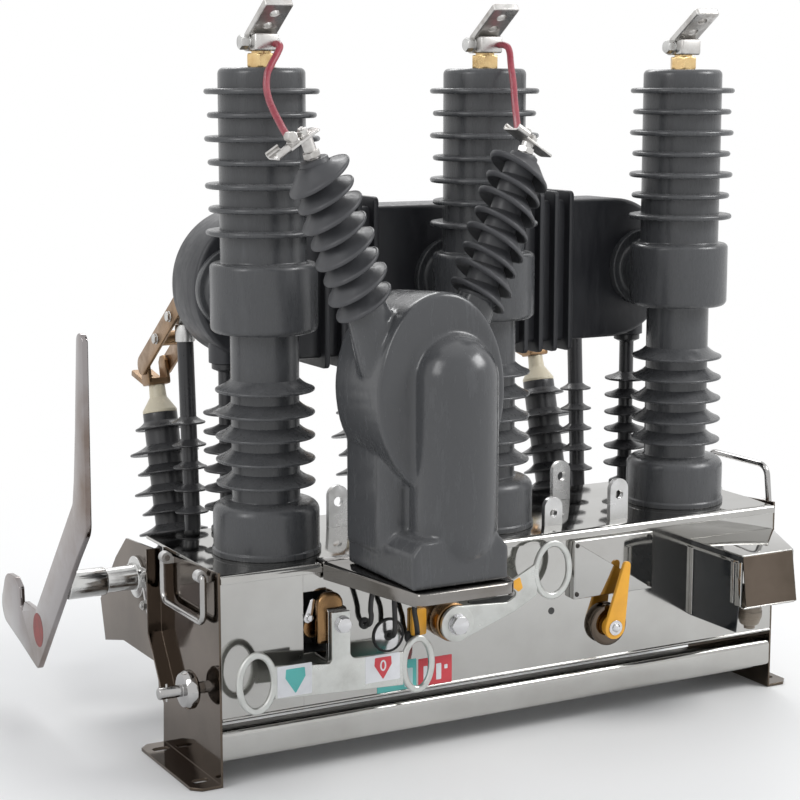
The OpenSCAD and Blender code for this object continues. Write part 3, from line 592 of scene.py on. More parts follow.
support_low, support_high = corners("bar_supports")
support_y = (support_low[1] + support_high[1]) / 2
support_height = support_high[2] - support_low[2]
support_profile = np.vstack([
    rounded([(20, 0), (24, 0), (24, 8), (11, 14), (11, 26)], 2.5, 4, False)[1:],
    shed_row(11, [33], 42, support_height - 65, 6, 6, thick=3.6, root=9),
    rounded([(11, support_height - 40), (11, support_height - 13), (20, support_height - 9),
             (20, support_height), (12, support_height)], 2, 4, False)])
rear_epoxy = epoxy("rear_epoxy", (0.03, 0.03, 0.032), (0.13, 0.13, 0.13), 0.3)
piece("bar_insulators", [lathe(support_profile, (x, support_y, support_low[2]), sides=64)
                         for x in pole_x], rear_epoxy, "housing", "insulator", "bar_supports")

# --- line terminals ---------------------------------------------------------------------------
# A brass hex stud is screwed into each pole's head. The tinned clamp on it is cast with a
# sloping pad, drilled twice for the line's lug, and a cross bolt tightens its split block.


def ring_across(axis, sides):
    """Unit circle in the plane across an axis."""
    u = unit(np.cross(axis, (0, 1, 0) if abs(axis[1]) < 0.9 else (0, 0, 1)))
    return circle(1, sides) @ np.array([u, np.cross(axis, u)])


def hexagon(base, axis, across, height):
    """Hex bar with turned chamfers. Its radius at angle a is w / 2 / cos(a mod 60 - 30), and
    at depth d below a face it is at most w / 2 + 1.7 d."""
    a = np.arange(48) * np.pi / 24
    flats = across / 2 / np.cos(a % (np.pi / 3) - np.pi / 6)
    depth = across * np.array([0, 0.015, 0.035, 0.06, 0.1])
    z = np.concatenate([depth, height - depth[::-1]])
    radii = np.minimum(flats, across / 2 + 1.7 * np.concatenate([depth, depth[::-1]])[:, None])
    return skin(np.array(base) + radii[..., None] * ring_across(axis, 48)
                + z[:, None, None] * np.array(axis))


def washer(base, axis, radius, bore, thick=1.6):
    """Flat ring with softened rims."""
    e = 0.3
    loop = np.array([(radius - e, 0), (radius, e), (radius, thick - e), (radius - e, thick),
                     (bore, thick), (bore, 0)])
    return skin(np.array(base) + loop[:, :1, None] * ring_across(axis, 40)
                + loop[:, 1:, None] * np.array(axis), ring=True)


def bolt(base, axis, across, height, end=0.0):
    """Hex head or nut on a washer, with the threaded end standing out where end is set. The
    thread's radius goes up and down with its height."""
    base, axis = np.array(base, float), unit(np.array(axis, float))
    made = [washer(base, axis, across * 0.62, across * 0.3),
            hexagon(base + 1.6 * axis, axis, across, height)]
    if end:
        z = np.linspace(0, end - 1, int(end * 2.4) + 2)
        wave = 0.29 * across + 0.28 * np.cos(np.arange(len(z)) * np.pi)
        made.append(lathe(np.vstack([np.stack([wave, z], 1), [[0.22 * across, end]]]),
                          base + (height + 1.6) * axis, axis, 24))
    return made


def pierced(outline, holes, low, high, origin=(0, 0, 0), u=(1, 0, 0), v=(0, 1, 0), edge=0.4):
    """Plate with holes. Each loop runs through the thickness with its two rims cut back by
    the edge, and triangles between the loops close both faces."""
    u, v, origin = (np.array(axis, float) for axis in (u, v, origin))
    sides, walls, first = [], [], 0
    for k, loop in enumerate([outline, *holes]):
        loop = np.asarray(loop, float)
        x, y = loop.T
        anticlockwise = np.sum(x * np.roll(y, -1) - np.roll(x, -1) * y) > 0
        loop = loop if anticlockwise == (k == 0) else loop[::-1]
        cut = inset(loop, edge if k == 0 else -edge)
        for flat, z in ((cut, low), (loop, low + edge), (loop, high - edge), (cut, high)):
            sides.append(origin + z * np.cross(u, v) + flat @ np.array([u, v]))
        n = len(loop)
        here = first + np.arange(3 * n)
        beside = first + np.arange(3 * n) // n * n + (np.arange(3 * n) + 1) % n
        walls.append(np.stack([here, beside, beside + n, here + n], 1))
        first += 4 * n
    points = np.vstack(sides)
    starts = np.cumsum([0] + [len(s) for s in sides])
    lids = []
    for level in (0, 3):
        loops = [points[starts[4 * k + level]:starts[4 * k + level + 1]]
                 for k in range(len(holes) + 1)]
        index = np.concatenate([np.arange(starts[4 * k + level], starts[4 * k + level + 1])
                                for k in range(len(holes) + 1)])
        flat = [[Vector(((p - origin) @ u, (p - origin) @ v, 0)) for p in loop]
                for loop in loops]
        lid = index[np.array(tessellate_polygon(flat))]
        a, b, c = (points[lid[:, j]] for j in range(3))
        up = np.sum(np.cross(b - a, c - a) * np.cross(u, v), 1) > 0
        wrong = up != (level == 3)
        lid[wrong] = lid[wrong][:, ::-1]
        lids.append(lid)
    return points, np.vstack(walls).tolist() + np.vstack(lids).tolist()


def box(low, high, edge):
    """Block with softened edges: a rounded outline in X and Y, thickened along Z."""
    return extruded(rectangle(low[:2], high[:2], edge), low[2], high[2], edge=edge)


def metal(name, colour, roughness, spots, grain=(1, 1, 1), size=40):
    """Bare or plated metal: patches of tarnish, uneven gloss, fine scratches, soft edges."""
    made = finish(name, colour, roughness, metallic=1.0)
    soften(made, 0.0007)
    cloud = pattern(made, size, Detail=5, Roughness=0.65)
    tint(made, cloud, spots, 0.45, 0.75)
    feed(made, "Roughness", ranged(made, cloud, roughness * 0.7, min(1, roughness * 1.5)))
    relief(made, pattern(made, 300, grain, Detail=3), 0.012)
    return made


def each(make, places):
    """The surfaces that make gives at each of several places, in one list."""
    return [surface for place in places for surface in make(place)]


brass = metal("brass", (0.72, 0.53, 0.27), 0.28, (0.5, 0.33, 0.15))
tinned_metal = metal("tinned_metal", (0.6, 0.59, 0.575), 0.32, (0.36, 0.34, 0.32))
zinc = metal("zinc", (0.62, 0.62, 0.61), 0.3, (0.45, 0.45, 0.44))
stud_low, stud_high = corners("terminal_studs")
stud_r = stud_high[0] - pole_x[2]
piece("stud_nuts", [surface for x in pole_x for surface in (
    hexagon((x, 0, stud_low[2]), (0, 0, 1), stud_r * 3 ** 0.5, stud_high[2] - stud_low[2] - 2.5),
    lathe([(13, 0), (13, 6)], (x, 0, stud_high[2] - 5.9)))], brass, "housing", "brass",
    "terminal_studs")

clamp_foot = stud_high[2]
pad_rise = np.radians(34)
pad_up = np.array([0, -np.cos(pad_rise), np.sin(pad_rise)])


def terminal_clamp(x):
    """Split block, its ears, and the pad that slopes forward and up."""
    top = clamp_foot + 23
    pad = rectangle((-20, 0), (20, 78), [1, 1, 4, 4], 4)
    holes = [circle(6, 32) + (0, z) for z in (33, 59)]
    return [box((x - 17, -20, clamp_foot), (x + 17, -3, top), 3),
            box((x - 17, -1, clamp_foot), (x + 17, 20, top), 3),
            box((x - 12, -12, clamp_foot + 3), (x + 12, 12, top - 2), 3),
            pierced(pad, holes, -5, 5, (x, 8, clamp_foot + 18), (1, 0, 0), pad_up, 1.2)]


def clamp_bolts(x):
    """Head on the left and nut on the right of the cross bolt."""
    return [*bolt((x - 16.8, 4, clamp_foot + 11.5), (-1, 0, 0), 17, 11),
            *bolt((x + 16.8, 4, clamp_foot + 11.5), (1, 0, 0), 15, 8)]


piece("clamps", each(terminal_clamp, pole_x), tinned_metal, "housing", "tinned",
      "terminal_clamps")
piece("clamp_bolts", each(clamp_bolts, pole_x), zinc, "housing", "polished_steel")

# --- rear posts and jaws ----------------------------------------------------------------------
# Leaning post insulators on the cross beam carry cream moulded caps. A copper jaw is screwed on
# each cap: two cheeks that the blades close on, and a drilled pad for the outgoing line.

hinge = np.array([212.0, 626.0])
shaft_at = np.array([188.0, 220.0])
blade_slope = np.radians(36)
blade_run = np.array([np.cos(blade_slope), -np.sin(blade_slope)])
jaw_at = hinge + 234.8 * blade_run
post_foot = np.array([312.0, 150.0])
post_run = unit(jaw_at - post_foot)
post_height = np.linalg.norm(jaw_at - post_foot)
core_height = post_height - 73
post_up = np.array([0, *post_run])
post_out = np.array([0, post_run[1], -post_run[0]])
post_profile = np.vstack([
    rounded([(20, 0), (32, 0), (32, 8), (26, 14), (26, 40)], 2, 4, False)[1:],
    shed_row(26, [44, 52], 72, core_height - 53.5, 6, 7, thick=4, root=12),
    shed(26, 40, core_height - 18, 5, 4, 11),
    rounded([(26, core_height - 8), (26, core_height - 0.1), (10, core_height - 0.1)], 1, 3,
            False)])
cap_points = [(15, 0), (26, 0), (26, 4), (13, 24), (12, 43), (6, 43)]
post_base = [np.array([x, *post_foot]) for x in pole_x]
cap_base = [p + core_height * post_up for p in post_base]
piece("post_insulators", [lathe(post_profile, p, post_up, 80) for p in post_base], rear_epoxy,
      "housing", "insulator", "rear_posts")
cream = epoxy("cream_plastic", (0.62, 0.56, 0.42), (0.66, 0.62, 0.52), 0.42)
piece("post_heads", [turned(cap_points, [0, 0.5, 3, 6, 1.5, 0], 6, p, post_up, 64)
                     for p in cap_base], cream, "housing", "cream_cap", "post_caps")

copper = metal("copper", (0.3, 0.19, 0.105), 0.34, (0.17, 0.115, 0.075), size=25)
tongue = 17.7
jaw_foot = core_height + 43


def jaw(x):
    """Foot block, two cheeks, and the outgoing pad, in the post's leaning frame."""
    base = np.array([x, *post_foot])
    cheek = rounded([(-14, jaw_foot + 1), (14, jaw_foot + 1), (14, post_height + 6),
                     (6, post_height + 14), (-6, post_height + 14), (-14, post_height + 6)],
                    3, 4)
    foot = rectangle((-14, jaw_foot), (14, jaw_foot + 10))
    tilt = np.radians(25)
    run = np.cos(tilt) * post_out + np.sin(tilt) * post_up
    pad = rectangle((-17, -3), (17, 53), [1, 1, 5, 5], 4)
    holes = [circle(6, 32) + (0, d) for d in (20, 40)]
    start = base + 14 * post_out + (jaw_foot + 2) * post_up
    plates = [extruded(cheek, *sorted((s * tongue, s * (tongue - 6))), base, post_out, post_up,
                       1) for s in (1, -1)]
    return [extruded(foot, -17, 17, base, post_out, post_up, 1), *plates,
            pierced(pad, holes, 0, 8, start, (1, 0, 0), run, 0.8)]


piece("jaws", each(jaw, pole_x), copper, "housing", "copper", "jaw_contacts")

# --- outlets and blades -----------------------------------------------------------------------
# Copper lugs bolted to the sensor case carry the blade hinges. Each blade is a pair of bars
# with a spacer and pins, which close on the lug and on the jaw.


def arc(centre, radius, start, end, steps):
    """Points on an arc between two angles in degrees."""
    a = np.radians(np.linspace(start, end, steps))
    return np.array(centre) + radius * np.stack([np.cos(a), np.sin(a)], 1)


flange_back = 192
lug_r = 18
lug = np.vstack([arc(hinge, lug_r, -90, 90, 17), [(flange_back - 2, hinge[1] + lug_r),
                                                  (flange_back - 2, hinge[1] - lug_r)]])


def outlet(x):
    """Flange on the case, and a lug with a round end for the hinge pin."""
    flange = rectangle((x - 22, hinge[1] - 30), (x + 22, hinge[1] + 30), 5, 4)
    return [along_x(lug, x - tongue, x + tongue, 0.8),
            frontal(flange, flange_back, flange_back - 4.5, 1)]


piece("outlets", each(outlet, pole_x), copper, "housing", "copper", "outlet_hinges")
bolts_at = [(x + s * 13, flange_back, hinge[1] + d) for x in pole_x for s in (-1, 1)
            for d in (24, -24)]
piece("outlet_bolts", each(lambda at: bolt(at, (0, 1, 0), 9, 5), bolts_at), zinc, "housing",
      "polished_steel")


def link(radius_a, radius_b, distance, run, start):
    """Outline of a flat link: arcs about its two ends, joined by straight sides that touch
    both, which they do at an angle whose cosine is (ra - rb) / d."""
    touch = np.degrees(np.arccos((radius_a - radius_b) / distance))
    loop = np.vstack([arc((0, 0), radius_a, touch, 360 - touch, 14),
                      arc((distance, 0), radius_b, -touch, touch, 14)])
    return np.array(start) + loop @ np.array([run, [-run[1], run[0]]])


blade_outline = link(15, 15, 231.5, blade_run, hinge)
pins_at = [hinge + d * blade_run for d in (0, 84, 150)]


def blade_pair(x):
    """Two bars and the spacers on their pins."""
    bars = [along_x(blade_outline, *sorted((x + s * 18, x + s * 23)), 0.8) for s in (-1, 1)]
    spacer = [lathe([(11, 0), (11, 34)], (x - 17, *pins_at[2]), (1, 0, 0), 32)]
    return bars + spacer


piece("blade_bars", each(blade_pair, pole_x), copper, "blade_set", "copper", "blades")
piece("blade_pins", [surface for x in pole_x for s in (-1, 1) for at in pins_at
                     for surface in bolt((x + s * 23, *at), (s, 0, 0), 13, 4)],
      zinc, "blade_set", "polished_steel")

# --- disconnector shaft -----------------------------------------------------------------------
# Ground steel bar in two bearings. Pairs of crank plates under the poles push the blades by
# insulated rods, and a flame-cut lever on its left end is pulled with a hook stick.

shaft_steel = metal("shaft_steel", (0.6, 0.6, 0.59), 0.16, (0.5, 0.5, 0.49), (0.02, 1, 1))
shaft_low, shaft_high = corners("disconnector_shaft")


def tube(inner, outer, low, high, soft, base, axis, sides, steps=3):
    """Ring or sleeve about an axis, with softened outer rims."""
    return turned([(inner, low), (outer, low), (outer, high), (inner, high)], soft, steps, base,
                  axis, sides)


crank_pin = shaft_at + 84 * blade_run
crank_outline = link(17, 12, 84, blade_run, shaft_at)
sleeve_end = shaft_low[0] + 55
shaft = turned([(8, shaft_low[0]), (20, shaft_low[0]), (20, sleeve_end), (13, sleeve_end),
                (13, shaft_high[0]), (6, shaft_high[0])], [0, 1.5, 1.5, 1, 2, 0], 3,
               (0, *shaft_at), (1, 0, 0), 64)
half_length = corners("right_end_plate")[0][0] + sheet
collars = [tube(14, 20, 0, 10, 1.2, (x, *shaft_at), (1, 0, 0), 48)
           for x in (-half_length + 5, half_length - 15)]
cranks = [along_x(crank_outline, *sorted((x + s * 17, x + s * 23)), 0.8) for x in pole_x
          for s in (-1, 1)]
pins = [lathe([(6, -23), (6, 23)], (x, *crank_pin), (1, 0, 0), 24) for x in pole_x]
piece("drive_shaft", [shaft, *collars, *cranks, *pins], shaft_steel, "disconnector_drive",
      "polished_steel", "disconnector_shaft")

lever_steel = sheet_steel("lever_steel", (0.3, 0.28, 0.28), (1, 0.3, 0.05), (0.17, 0.125, 0.1))
lever_outline = shaft_at + np.vstack([
    arc((-103, 353), 13, 0, 180, 16),
    rounded([(-116, 340), (-112, 98), (-67, 52), (112, -146)], [0, 30, 4, 0], 5,
            False)[1:-1],
    arc((119, -139), 11, -135, -70, 5),
    rounded([(122, -149), (195, -131), (250, -119)], [0, 20, 0], 5, False)[1:-1],
    arc((252, -88), 30, -65, 20, 9), arc((240, -66), 30, 20, 90, 8),
    rounded([(230, -36), (212, -35), (192, -46), (190, -74), (182, -80), (170, -62), (117, -62),
             (-58, 128), (-66, 163), (-76, 232), (-89, 330)],
            [0, 4, 6, 5, 3, 4, 6, 12, 20, 30, 0], 4, False)[1:-1]])
lever_x = [corner[0] for corner in corners("operating_lever")]
piece("hook_lever", [along_x(lever_outline, *lever_x, 1.0)], lever_steel, "disconnector_drive",
      "polished_steel", "operating_lever")
red_mark = finish("red_mark", (0.24, 0.03, 0.025), 0.5)
relief(red_mark, pattern(red_mark, 200, Detail=2), 0.01)
tint(red_mark, pattern(red_mark, 60, Detail=3), (0.17, 0.03, 0.025), 0.4, 0.7)
red_oval = circle(1, 32) * (22, 25) + shaft_at + (108, -90)
piece("lever_mark", [along_x(red_oval, lever_x[0] - 0.25, lever_x[0] + 0.1)], red_mark,
      "disconnector_drive", "polished_steel")

# --- bearings and links on the left end -------------------------------------------------------
# Turned bearing flanges are bolted to the wings. Outside the left plate a short strap hangs
# from a bolted ledge, and the interlock shaft carries a round hub and a split pin.

bearing_left = corners("shaft_bearings")[0][0]
left_bearing = turned([(14, 0), (17, 0), (18, 45), (30, 45), (30, 50), (14, 50)],
                      [0, 2, 2, 1, 0.5, 0], 4, (bearing_left, *shaft_at), (1, 0, 0), 64)
right_bearing = turned([(14, 20), (22, 20), (22, 6), (36, 6), (36, 0), (14, 0)],
                       [0, 1.5, 2, 1, 0.5, 0], 4, (half_length, *shaft_at), (1, 0, 0), 64)
piece("bearing_cones", [left_bearing, right_bearing], shaft_steel, "housing",
      "polished_steel", "shaft_bearings")
bolts_at = [(half_length + 6, y, z) for y, z in arc(shaft_at, 30.5, 45, 315, 4)]
piece("bearing_bolts", each(lambda at: bolt(at, (1, 0, 0), 8, 4.5), bolts_at), zinc, "housing",
      "polished_steel")

side_x = -half_length
strap = link(8, 8, 44, unit(np.array([-0.45, -1.0])), (150, 226))
ledge = rectangle((128, 214), (208, 240), 5, 4)
piece("side_links", [along_x(strap, side_x - 8, side_x - 4, 0.8),
                     along_x(ledge, side_x - 4, side_x - 0.1, 0.8)], fitting_steel, "housing",
      "polished_steel")
bolts_at = [(side_x - 4, 140, 232), (side_x - 4, 196, 232), (side_x - 8, 135, 192)]
piece("side_bolts", each(lambda at: bolt(at, (-1, 0, 0), 12, 6, 3), bolts_at), zinc, "housing",
      "polished_steel")

interlock_low, interlock_high = corners("interlock_shaft")
interlock_at = np.array([-45.0, 122.0])
interlock_bar = tube(4, 8, interlock_low[0], interlock_high[0], [0, 1.5, 1, 0],
                     (0, *interlock_at), (1, 0, 0), 48)
hub = turned([(7, -31), (22, -31), (26, -25), (26, -17), (22, -13), (7, -13)],
             [0, 2, 2, 2, 2, 0], 4, (side_x, *interlock_at), (1, 0, 0), 64)
piece("interlock_drive", [interlock_bar, hub], fitting_steel, "interlock", "polished_steel",
      "interlock_shaft")
pin_ends = [(side_x - 52, interlock_at[0], interlock_at[1] + z) for z in (-12, 12)]
piece("split_pin", [sweep(np.linspace(*pin_ends, 6), circle(1.4, 10), (1, 0, 0))],
      zinc, "interlock", "polished_steel")

# --- pull rods --------------------------------------------------------------------------------
# Glass-fibre rods with moulded silicone sheds and pressed steel eyes join cranks and blades.

rod_run = unit(np.array([24.0, 406.0]))
rod_length = np.linalg.norm([24, 406])
rod_up = np.array([0, *rod_run])
rod_profile = np.vstack([
    rounded([(8, 22), (12, 22), (12, 40)], [0, 1, 0], 3, False)[:-1],
    shed_row(12, [25], rod_length - 284, rod_length - 152, 5, 5, thick=3.2, root=8),
    rounded([(12, rod_length - 60), (12, rod_length - 22), (8, rod_length - 22)],
            [0, 1, 0], 3, False)])
ferrules = [tube(9, 14.5, h, h + 26, 1.2, (x, *crank_pin), rod_up, 40)
            for x in pole_x for h in (12, rod_length - 38)]
eyes = [tube(6.2, 13, -12, 12, 1, np.array([x, *crank_pin]) + h * rod_up, (1, 0, 0), 40)
        for x in pole_x for h in (0, rod_length)]
piece("rod_insulation", [lathe(rod_profile, (x, *crank_pin), rod_up, 48) for x in pole_x],
      rear_epoxy, "rods", "insulator", "pull_rods")
piece("rod_fittings", ferrules + eyes, zinc, "rods", "polished_steel")

# --- voltage transformer ----------------------------------------------------------------------
# Two-bushing transformer cast in one epoxy body: a flanged foot, a pedestal under an oval
# winding drum, and a round-ended core housing in front. It stands on a folded tray.

vt_x = -212.0
tray_top = 288.0
tray_fold = 4
tray_outline = rounded([(-307, -104), (-278, -316), (-134, -316), (-105, -104)],
                       [1.5, 12, 26, 1.5], 9)


def pan(outline, low, high):
    """Sheet folded down all round to its own height `low` at each point: up the inside to the
    flat, and back down and over the fold, whose arc is inset by r (1 - cos q) at depth
    r (1 - sin q)."""
    q = np.linspace(0, np.pi / 2, 6)
    rows = [(sheet, high - sheet), (sheet, low), (0, low)]
    rows += list(zip(tray_fold * (1 - np.cos(q)), high - tray_fold * (1 - np.sin(q))))
    return skin(np.array([np.column_stack([inset(outline, d), np.broadcast_to(z, len(outline))])
                          for d, z in rows]))


tray_skirt = 264 + 9 * np.clip((-300 - tray_outline[:, 1]) / 8, 0, 1)
# Painted shade: the tray's steel is much darker than the housing's, standing for the shade and
# dark reflections under the transformer's body.
shaded_tray_steel = sheet_steel("shaded_tray_steel", (0.25, 0.24, 0.23), (1, 1, 1), (0.18, 0.165, 0.15))
piece("tray", [pan(tray_outline, tray_skirt, tray_top),
               box((-307, -106, 285), (-105, -82, 287.9), 1)], shaded_tray_steel, "housing",
      "polished_steel", "vt_bracket")

bushing_mid = vt_x - 6
bushing_lean = np.radians(21)
bushing_base = [np.array([bushing_mid + s * 91.5, -211, 665]) for s in (-1, 1)]
bushing_up = [np.array([s * np.sin(bushing_lean), 0, np.cos(bushing_lean)]) for s in (-1, 1)]


drum_y = (-126.0, -260.0)
drum_at = (vt_x, 525)
drum_rim = 7


def drum():
    """Oval drum, ring by ring from its back to its front. The half-axes shrink to the back,
    and at angle q the rims are inset by r (1 - sin q) at depth r (1 - cos q)."""
    q = np.linspace(0, np.pi / 2, 6)
    depth, inwards = drum_rim * (1 - np.cos(q)), drum_rim * (1 - np.sin(q))
    y = np.concatenate([drum_y[0] - depth, drum_y[1] + depth[::-1]])
    inwards = np.concatenate([inwards, inwards[::-1]])
    back_share = (y - drum_y[1]) / (drum_y[0] - drum_y[1])
    half = np.stack([91 - 2 * back_share - inwards, 130 - 9 * back_share - inwards], 1)
    x, z = (drum_at + half[:, None] * circle(1, 96)).transpose(2, 0, 1)
    return skin(np.stack([x, np.broadcast_to(y[:, None], x.shape), z], -1))


def pill(x, y, radius, low, high):
    """Upright cylinder with round ends."""
    q = np.linspace(0.02, np.pi / 2, 12)
    end = np.stack([radius * np.sin(q), radius * (1 - np.cos(q))], 1)
    return lathe(np.vstack([end + (0, low), end[::-1] * (1, -1) + (0, high)]), (x, y, 0),
                 (0, 0, 1), 72)


foot_outline = rounded([(vt_x - 69, 0), (vt_x + 69, 0), (vt_x + 69, 43), (vt_x + 55, 60),
                        (vt_x - 55, 60), (vt_x - 69, 43)], [0.5, 0.5, 2, 6, 6, 2], 4)
pedestal = rounded([(vt_x - 72, -126), (vt_x - 72, -236), (vt_x + 72, -236), (vt_x + 72, -126)],
                   [4, 26, 26, 4], 8)
vt_epoxy = epoxy("vt_epoxy", (0.064, 0.066, 0.069), (0.2, 0.2, 0.2), 0.2)
vt_casting = piece("vt_casting", [
    extruded(foot_outline, 126, 305, (0, 0, tray_top + 1.2), (1, 0, 0), (0, 0, 1), 2.5),
    extruded(pedestal, 320, 470, edge=3), drum(), pill(vt_x + 13, -262, 56, 299, 601),
    *[lathe([(36 if s == 0 else 28, -110), (26, -24)], base, up, 64)
      for s, (base, up) in enumerate(zip(bushing_base, bushing_up))]],
    vt_epoxy, "housing", "insulator", "vt_body")
merged = vt_casting.modifiers.new("merge", "REMESH")
merged.mode = "VOXEL"
merged.voxel_size = 0.003
merged.use_smooth_shade = True
eased = vt_casting.modifiers.new("fillets", "SMOOTH")
eased.factor = 0.5
eased.iterations = 7

# --- transformer bushings ---------------------------------------------------------------------
# Silicone sheds are moulded aslant on the leaning bushings, so that they drain. Each carries
# a stud with a folded terminal plate, on which the lead is crimped and screwed down.

shed_tilts = (0.6, -0.7)
bushing_profile = np.vstack([
    rounded([(18, -30), (26, -30), (26, -25), (22, -22)], 1, 3, False)[1:],
    shed_row(21.5, [39, 42], -12, 60, 4, 13, thick=6.5, root=8),
    shed_row(20, [39, 42], 84, 156, 4, 13, thick=6.5, root=8),
    rounded([(19, 159), (18, 166), (6, 166)], [0, 2, 0], 4, False)])


def slanted(profile, base, axis, lean, core):
    """Turned about the axis, with what stands beyond the core sheared along it: height
    h + lean (r - core) cos a."""
    side = np.array([axis[2], 0, -axis[0]])
    ring = circle(1, 80)
    radius, height = profile.T
    slope = lean * np.maximum(radius - core, 0)[:, None] * ring[:, 0]
    return skin(base + radius[:, None, None] * (ring @ np.array([side, (0, 1, 0)]))
                + (height[:, None] + slope)[..., None] * axis)


rubber = epoxy("bushing_rubber", (0.05, 0.051, 0.055), (0.11, 0.11, 0.11), 0.45)
piece("bushing_sheds", [slanted(bushing_profile, base, up, tilt, 23)
                        for tilt, base, up in zip(shed_tilts, bushing_base, bushing_up)],
      rubber, "housing", "insulator", "bushings")


def terminal(k):
    """Stud and nut, a plate with two ears curled up from its long sides, and a crimp lug."""
    s = (-1, 1)[k]
    base, up = bushing_base[k], bushing_up[k]
    reach = (193, 180)[k]
    lean = s * np.radians(33)
    across = np.array([np.cos(lean), 0, -np.sin(lean)])
    normal = np.array([np.sin(lean), 0, np.cos(lean)])
    depth = np.array([0, 1, 0])
    at = base + reach * up + (-16, 0)[k] * across
    lug_at = (-0.5, -13.8)[k]
    curl = arc((13, 6.5), 4, -90, 60, 8)
    ears = thickened(np.vstack([curl[::-1] * (-1, 1), [(-6, 2.5), (6, 2.5)], curl]), 2.5)
    rows = [at + ears @ np.array([depth, normal]) + x * across for x in (-33, -31.5, -14)]
    flat = rectangle((-20, -15), (33, 15), [1, 5, 5, 1], 4)
    plate = extruded(flat, 1.2, 4.2, at, across, depth, 0.6)
    barrel = tube(4.7, 6.5, 0, 15, 0.8,
                  at + lug_at * across + (12.7, 9.8)[k] * normal + 9 * -depth, depth, 28)
    tab_outline = rectangle((-6.5, -8), (6.5, 8), 2) + (lug_at, 0)
    tab = extruded(tab_outline, 4, (8, 5)[k], at, across, depth, 0.6)
    stud = lathe([(8, 166), (8, reach + 6)], base, up, 32)
    nut = hexagon(base + 168 * up, up, 20, 8)
    return [skin(np.array(rows)), plate, barrel, tab, stud, nut,
            *bolt(at + 4.2 * normal + (16, 2)[k] * across, normal, 13, 6, 3)]


piece("lead_terminals", terminal(0) + terminal(1), tinned_metal, "housing", "tinned",
      "bushing_terminals")

# --- front levers -----------------------------------------------------------------------------
# Zinc-plated pull levers with cast rings work the mechanism. The rocker between two rings
# opens and closes it and the other one charges its spring; a yellow pointer is the selector.

pull_zinc = metal("pull_zinc", (0.56, 0.57, 0.55), 0.36, (0.47, 0.475, 0.455), size=22)
plate_y = (-128.0, -133.0)
rocker = np.array([-293.0, 208.0])
charging = np.array([-117.0, 184.0])
selector = np.array([149.0, 141.0])


def ahead(place, y):
    """A place in X and Z, as the point at depth y."""
    return place[0], y, place[1]


def oval_band(centre, a, b, width, back, front, sides=72, edge=1.6):
    """Oval ring with softened rims, from the plane Y = back forward to Y = front."""
    loop = circle(1, sides)
    return pierced(centre + loop * (a, b), [centre + loop * (a - width, b - width)], -back,
                   -front, v=(0, 0, 1), edge=edge)


ring_y = (-127.6, -133.6)
ring_width = 9
rings = [rocker + (-123, -63.5), rocker + (115, -71.5)]
charging_ring = charging + (154, 57)
bar = rocker + rounded([(-98, -88), (-98, -44), (-15, -52), (-15, 17), (12, 17), (12, -49),
                        (92, -51), (92, -97)], [1, 1, 5, 2, 2, 9, 1, 1], 5)
piece("rocker_lever", [
    oval_band(rings[0], 29, 42, ring_width, *ring_y),
    oval_band(rings[1], 26, 40, ring_width, *ring_y), frontal(bar, *plate_y, 0.8),
    lathe([(8, 0), (8, 5.7)], ahead(rocker, -116), (0, 1, 0), 32),
    lathe([(5, 0), (5, 20)], ahead(rocker, -129), (0, 1, 0), 24)],
    pull_zinc, "pull_rocker", "polished_steel", "pull_lever")
chrome = metal("chrome", (0.6, 0.6, 0.61), 0.14, (0.5, 0.5, 0.5))
piece("rocker_bolt", bolt(ahead(rocker, -133), (0, -1, 0), 19, 7), chrome,
      "pull_rocker", "polished_steel")

web = charging + rounded([(12, -22), (94, 7), (128, 25), (126, 69), (78, 46), (98, 30), (80, 20),
                          (5, 24.5)], [1, 4, 1, 1, 2, 6, 8, 1], 5)
piece("charging_handle", [
    oval_band(charging_ring, 32, 42, ring_width, *ring_y), frontal(web, *plate_y, 0.8),
    frontal(charging + circle(25, 64), -127.8, -133.3, 0.8),
    lathe([(8, 0), (8, 24)], ahead(charging, -128), (0, 1, 0), 32)],
    pull_zinc, "charging_arm", "polished_steel", "charging_lever")
piece("charging_bolt", bolt(ahead(charging, -133.3), (0, -1, 0), 24, 8), chrome,
      "charging_arm", "polished_steel")


def coating(name, colour, aged, roughness, size, grain, height, fine=1, end=0.8):
    """Paint, film or rubber: cloudy ageing at one scale, and a fine relief at another."""
    made = finish(name, colour, roughness)
    tint(made, pattern(made, size, Detail=4), aged, 0.45, end)
    relief(made, pattern(made, grain, Detail=fine), height)
    return made


yellow = coating("yellow_enamel", (0.86, 0.42, 0.035), (0.72, 0.33, 0.03), 0.38, 30, 350, 0.02)
web_patch = charging + rounded([(81, 46), (99, 54), (104, 38), (97, 33)], 2, 3)
piece("charging_patch", [frontal(web_patch, -132.9, -133.3, 0.05)], yellow, "charging_arm",
      "yellow_paint")
pointer = link(17, 6, np.hypot(19, 89), unit(np.array([19.0, 89.0])), selector)
piece("selector_pointer", [frontal(pointer, -120, -126, 1.2),
                           frontal(selector + circle(15, 48), -112.3, -120.1, 0.8),
                           lathe([(6, 0), (6, 12)], ahead(selector, -116), (0, 1, 0), 24)],
      yellow, "selector", "yellow_paint", "selector_lever")
dome = turned([(1, 0), (6, 0), (6, 1.5), (4, 3.6), (1, 4)], 1, 3, ahead(selector, -127.4),
              (0, -1, 0), 32)
piece("selector_screw", [washer(ahead(selector, -126), (0, -1, 0), 11, 4, 1.4), dome], chrome,
      "selector", "polished_steel")

# --- marks on the levers and stickers on the front --------------------------------------------
# Printed vinyl on the rocker shows what each pull does, as a coloured shield with a plain
# ring or bar. Two larger stickers are on the panel, behind and beside the right ring.


def vinyl(name, colour):
    """Printed film: even colour, slight yellowing, soft gloss."""
    return coating(name, colour, [c * 0.86 for c in colour], 0.42, 45, 500, 0.008)


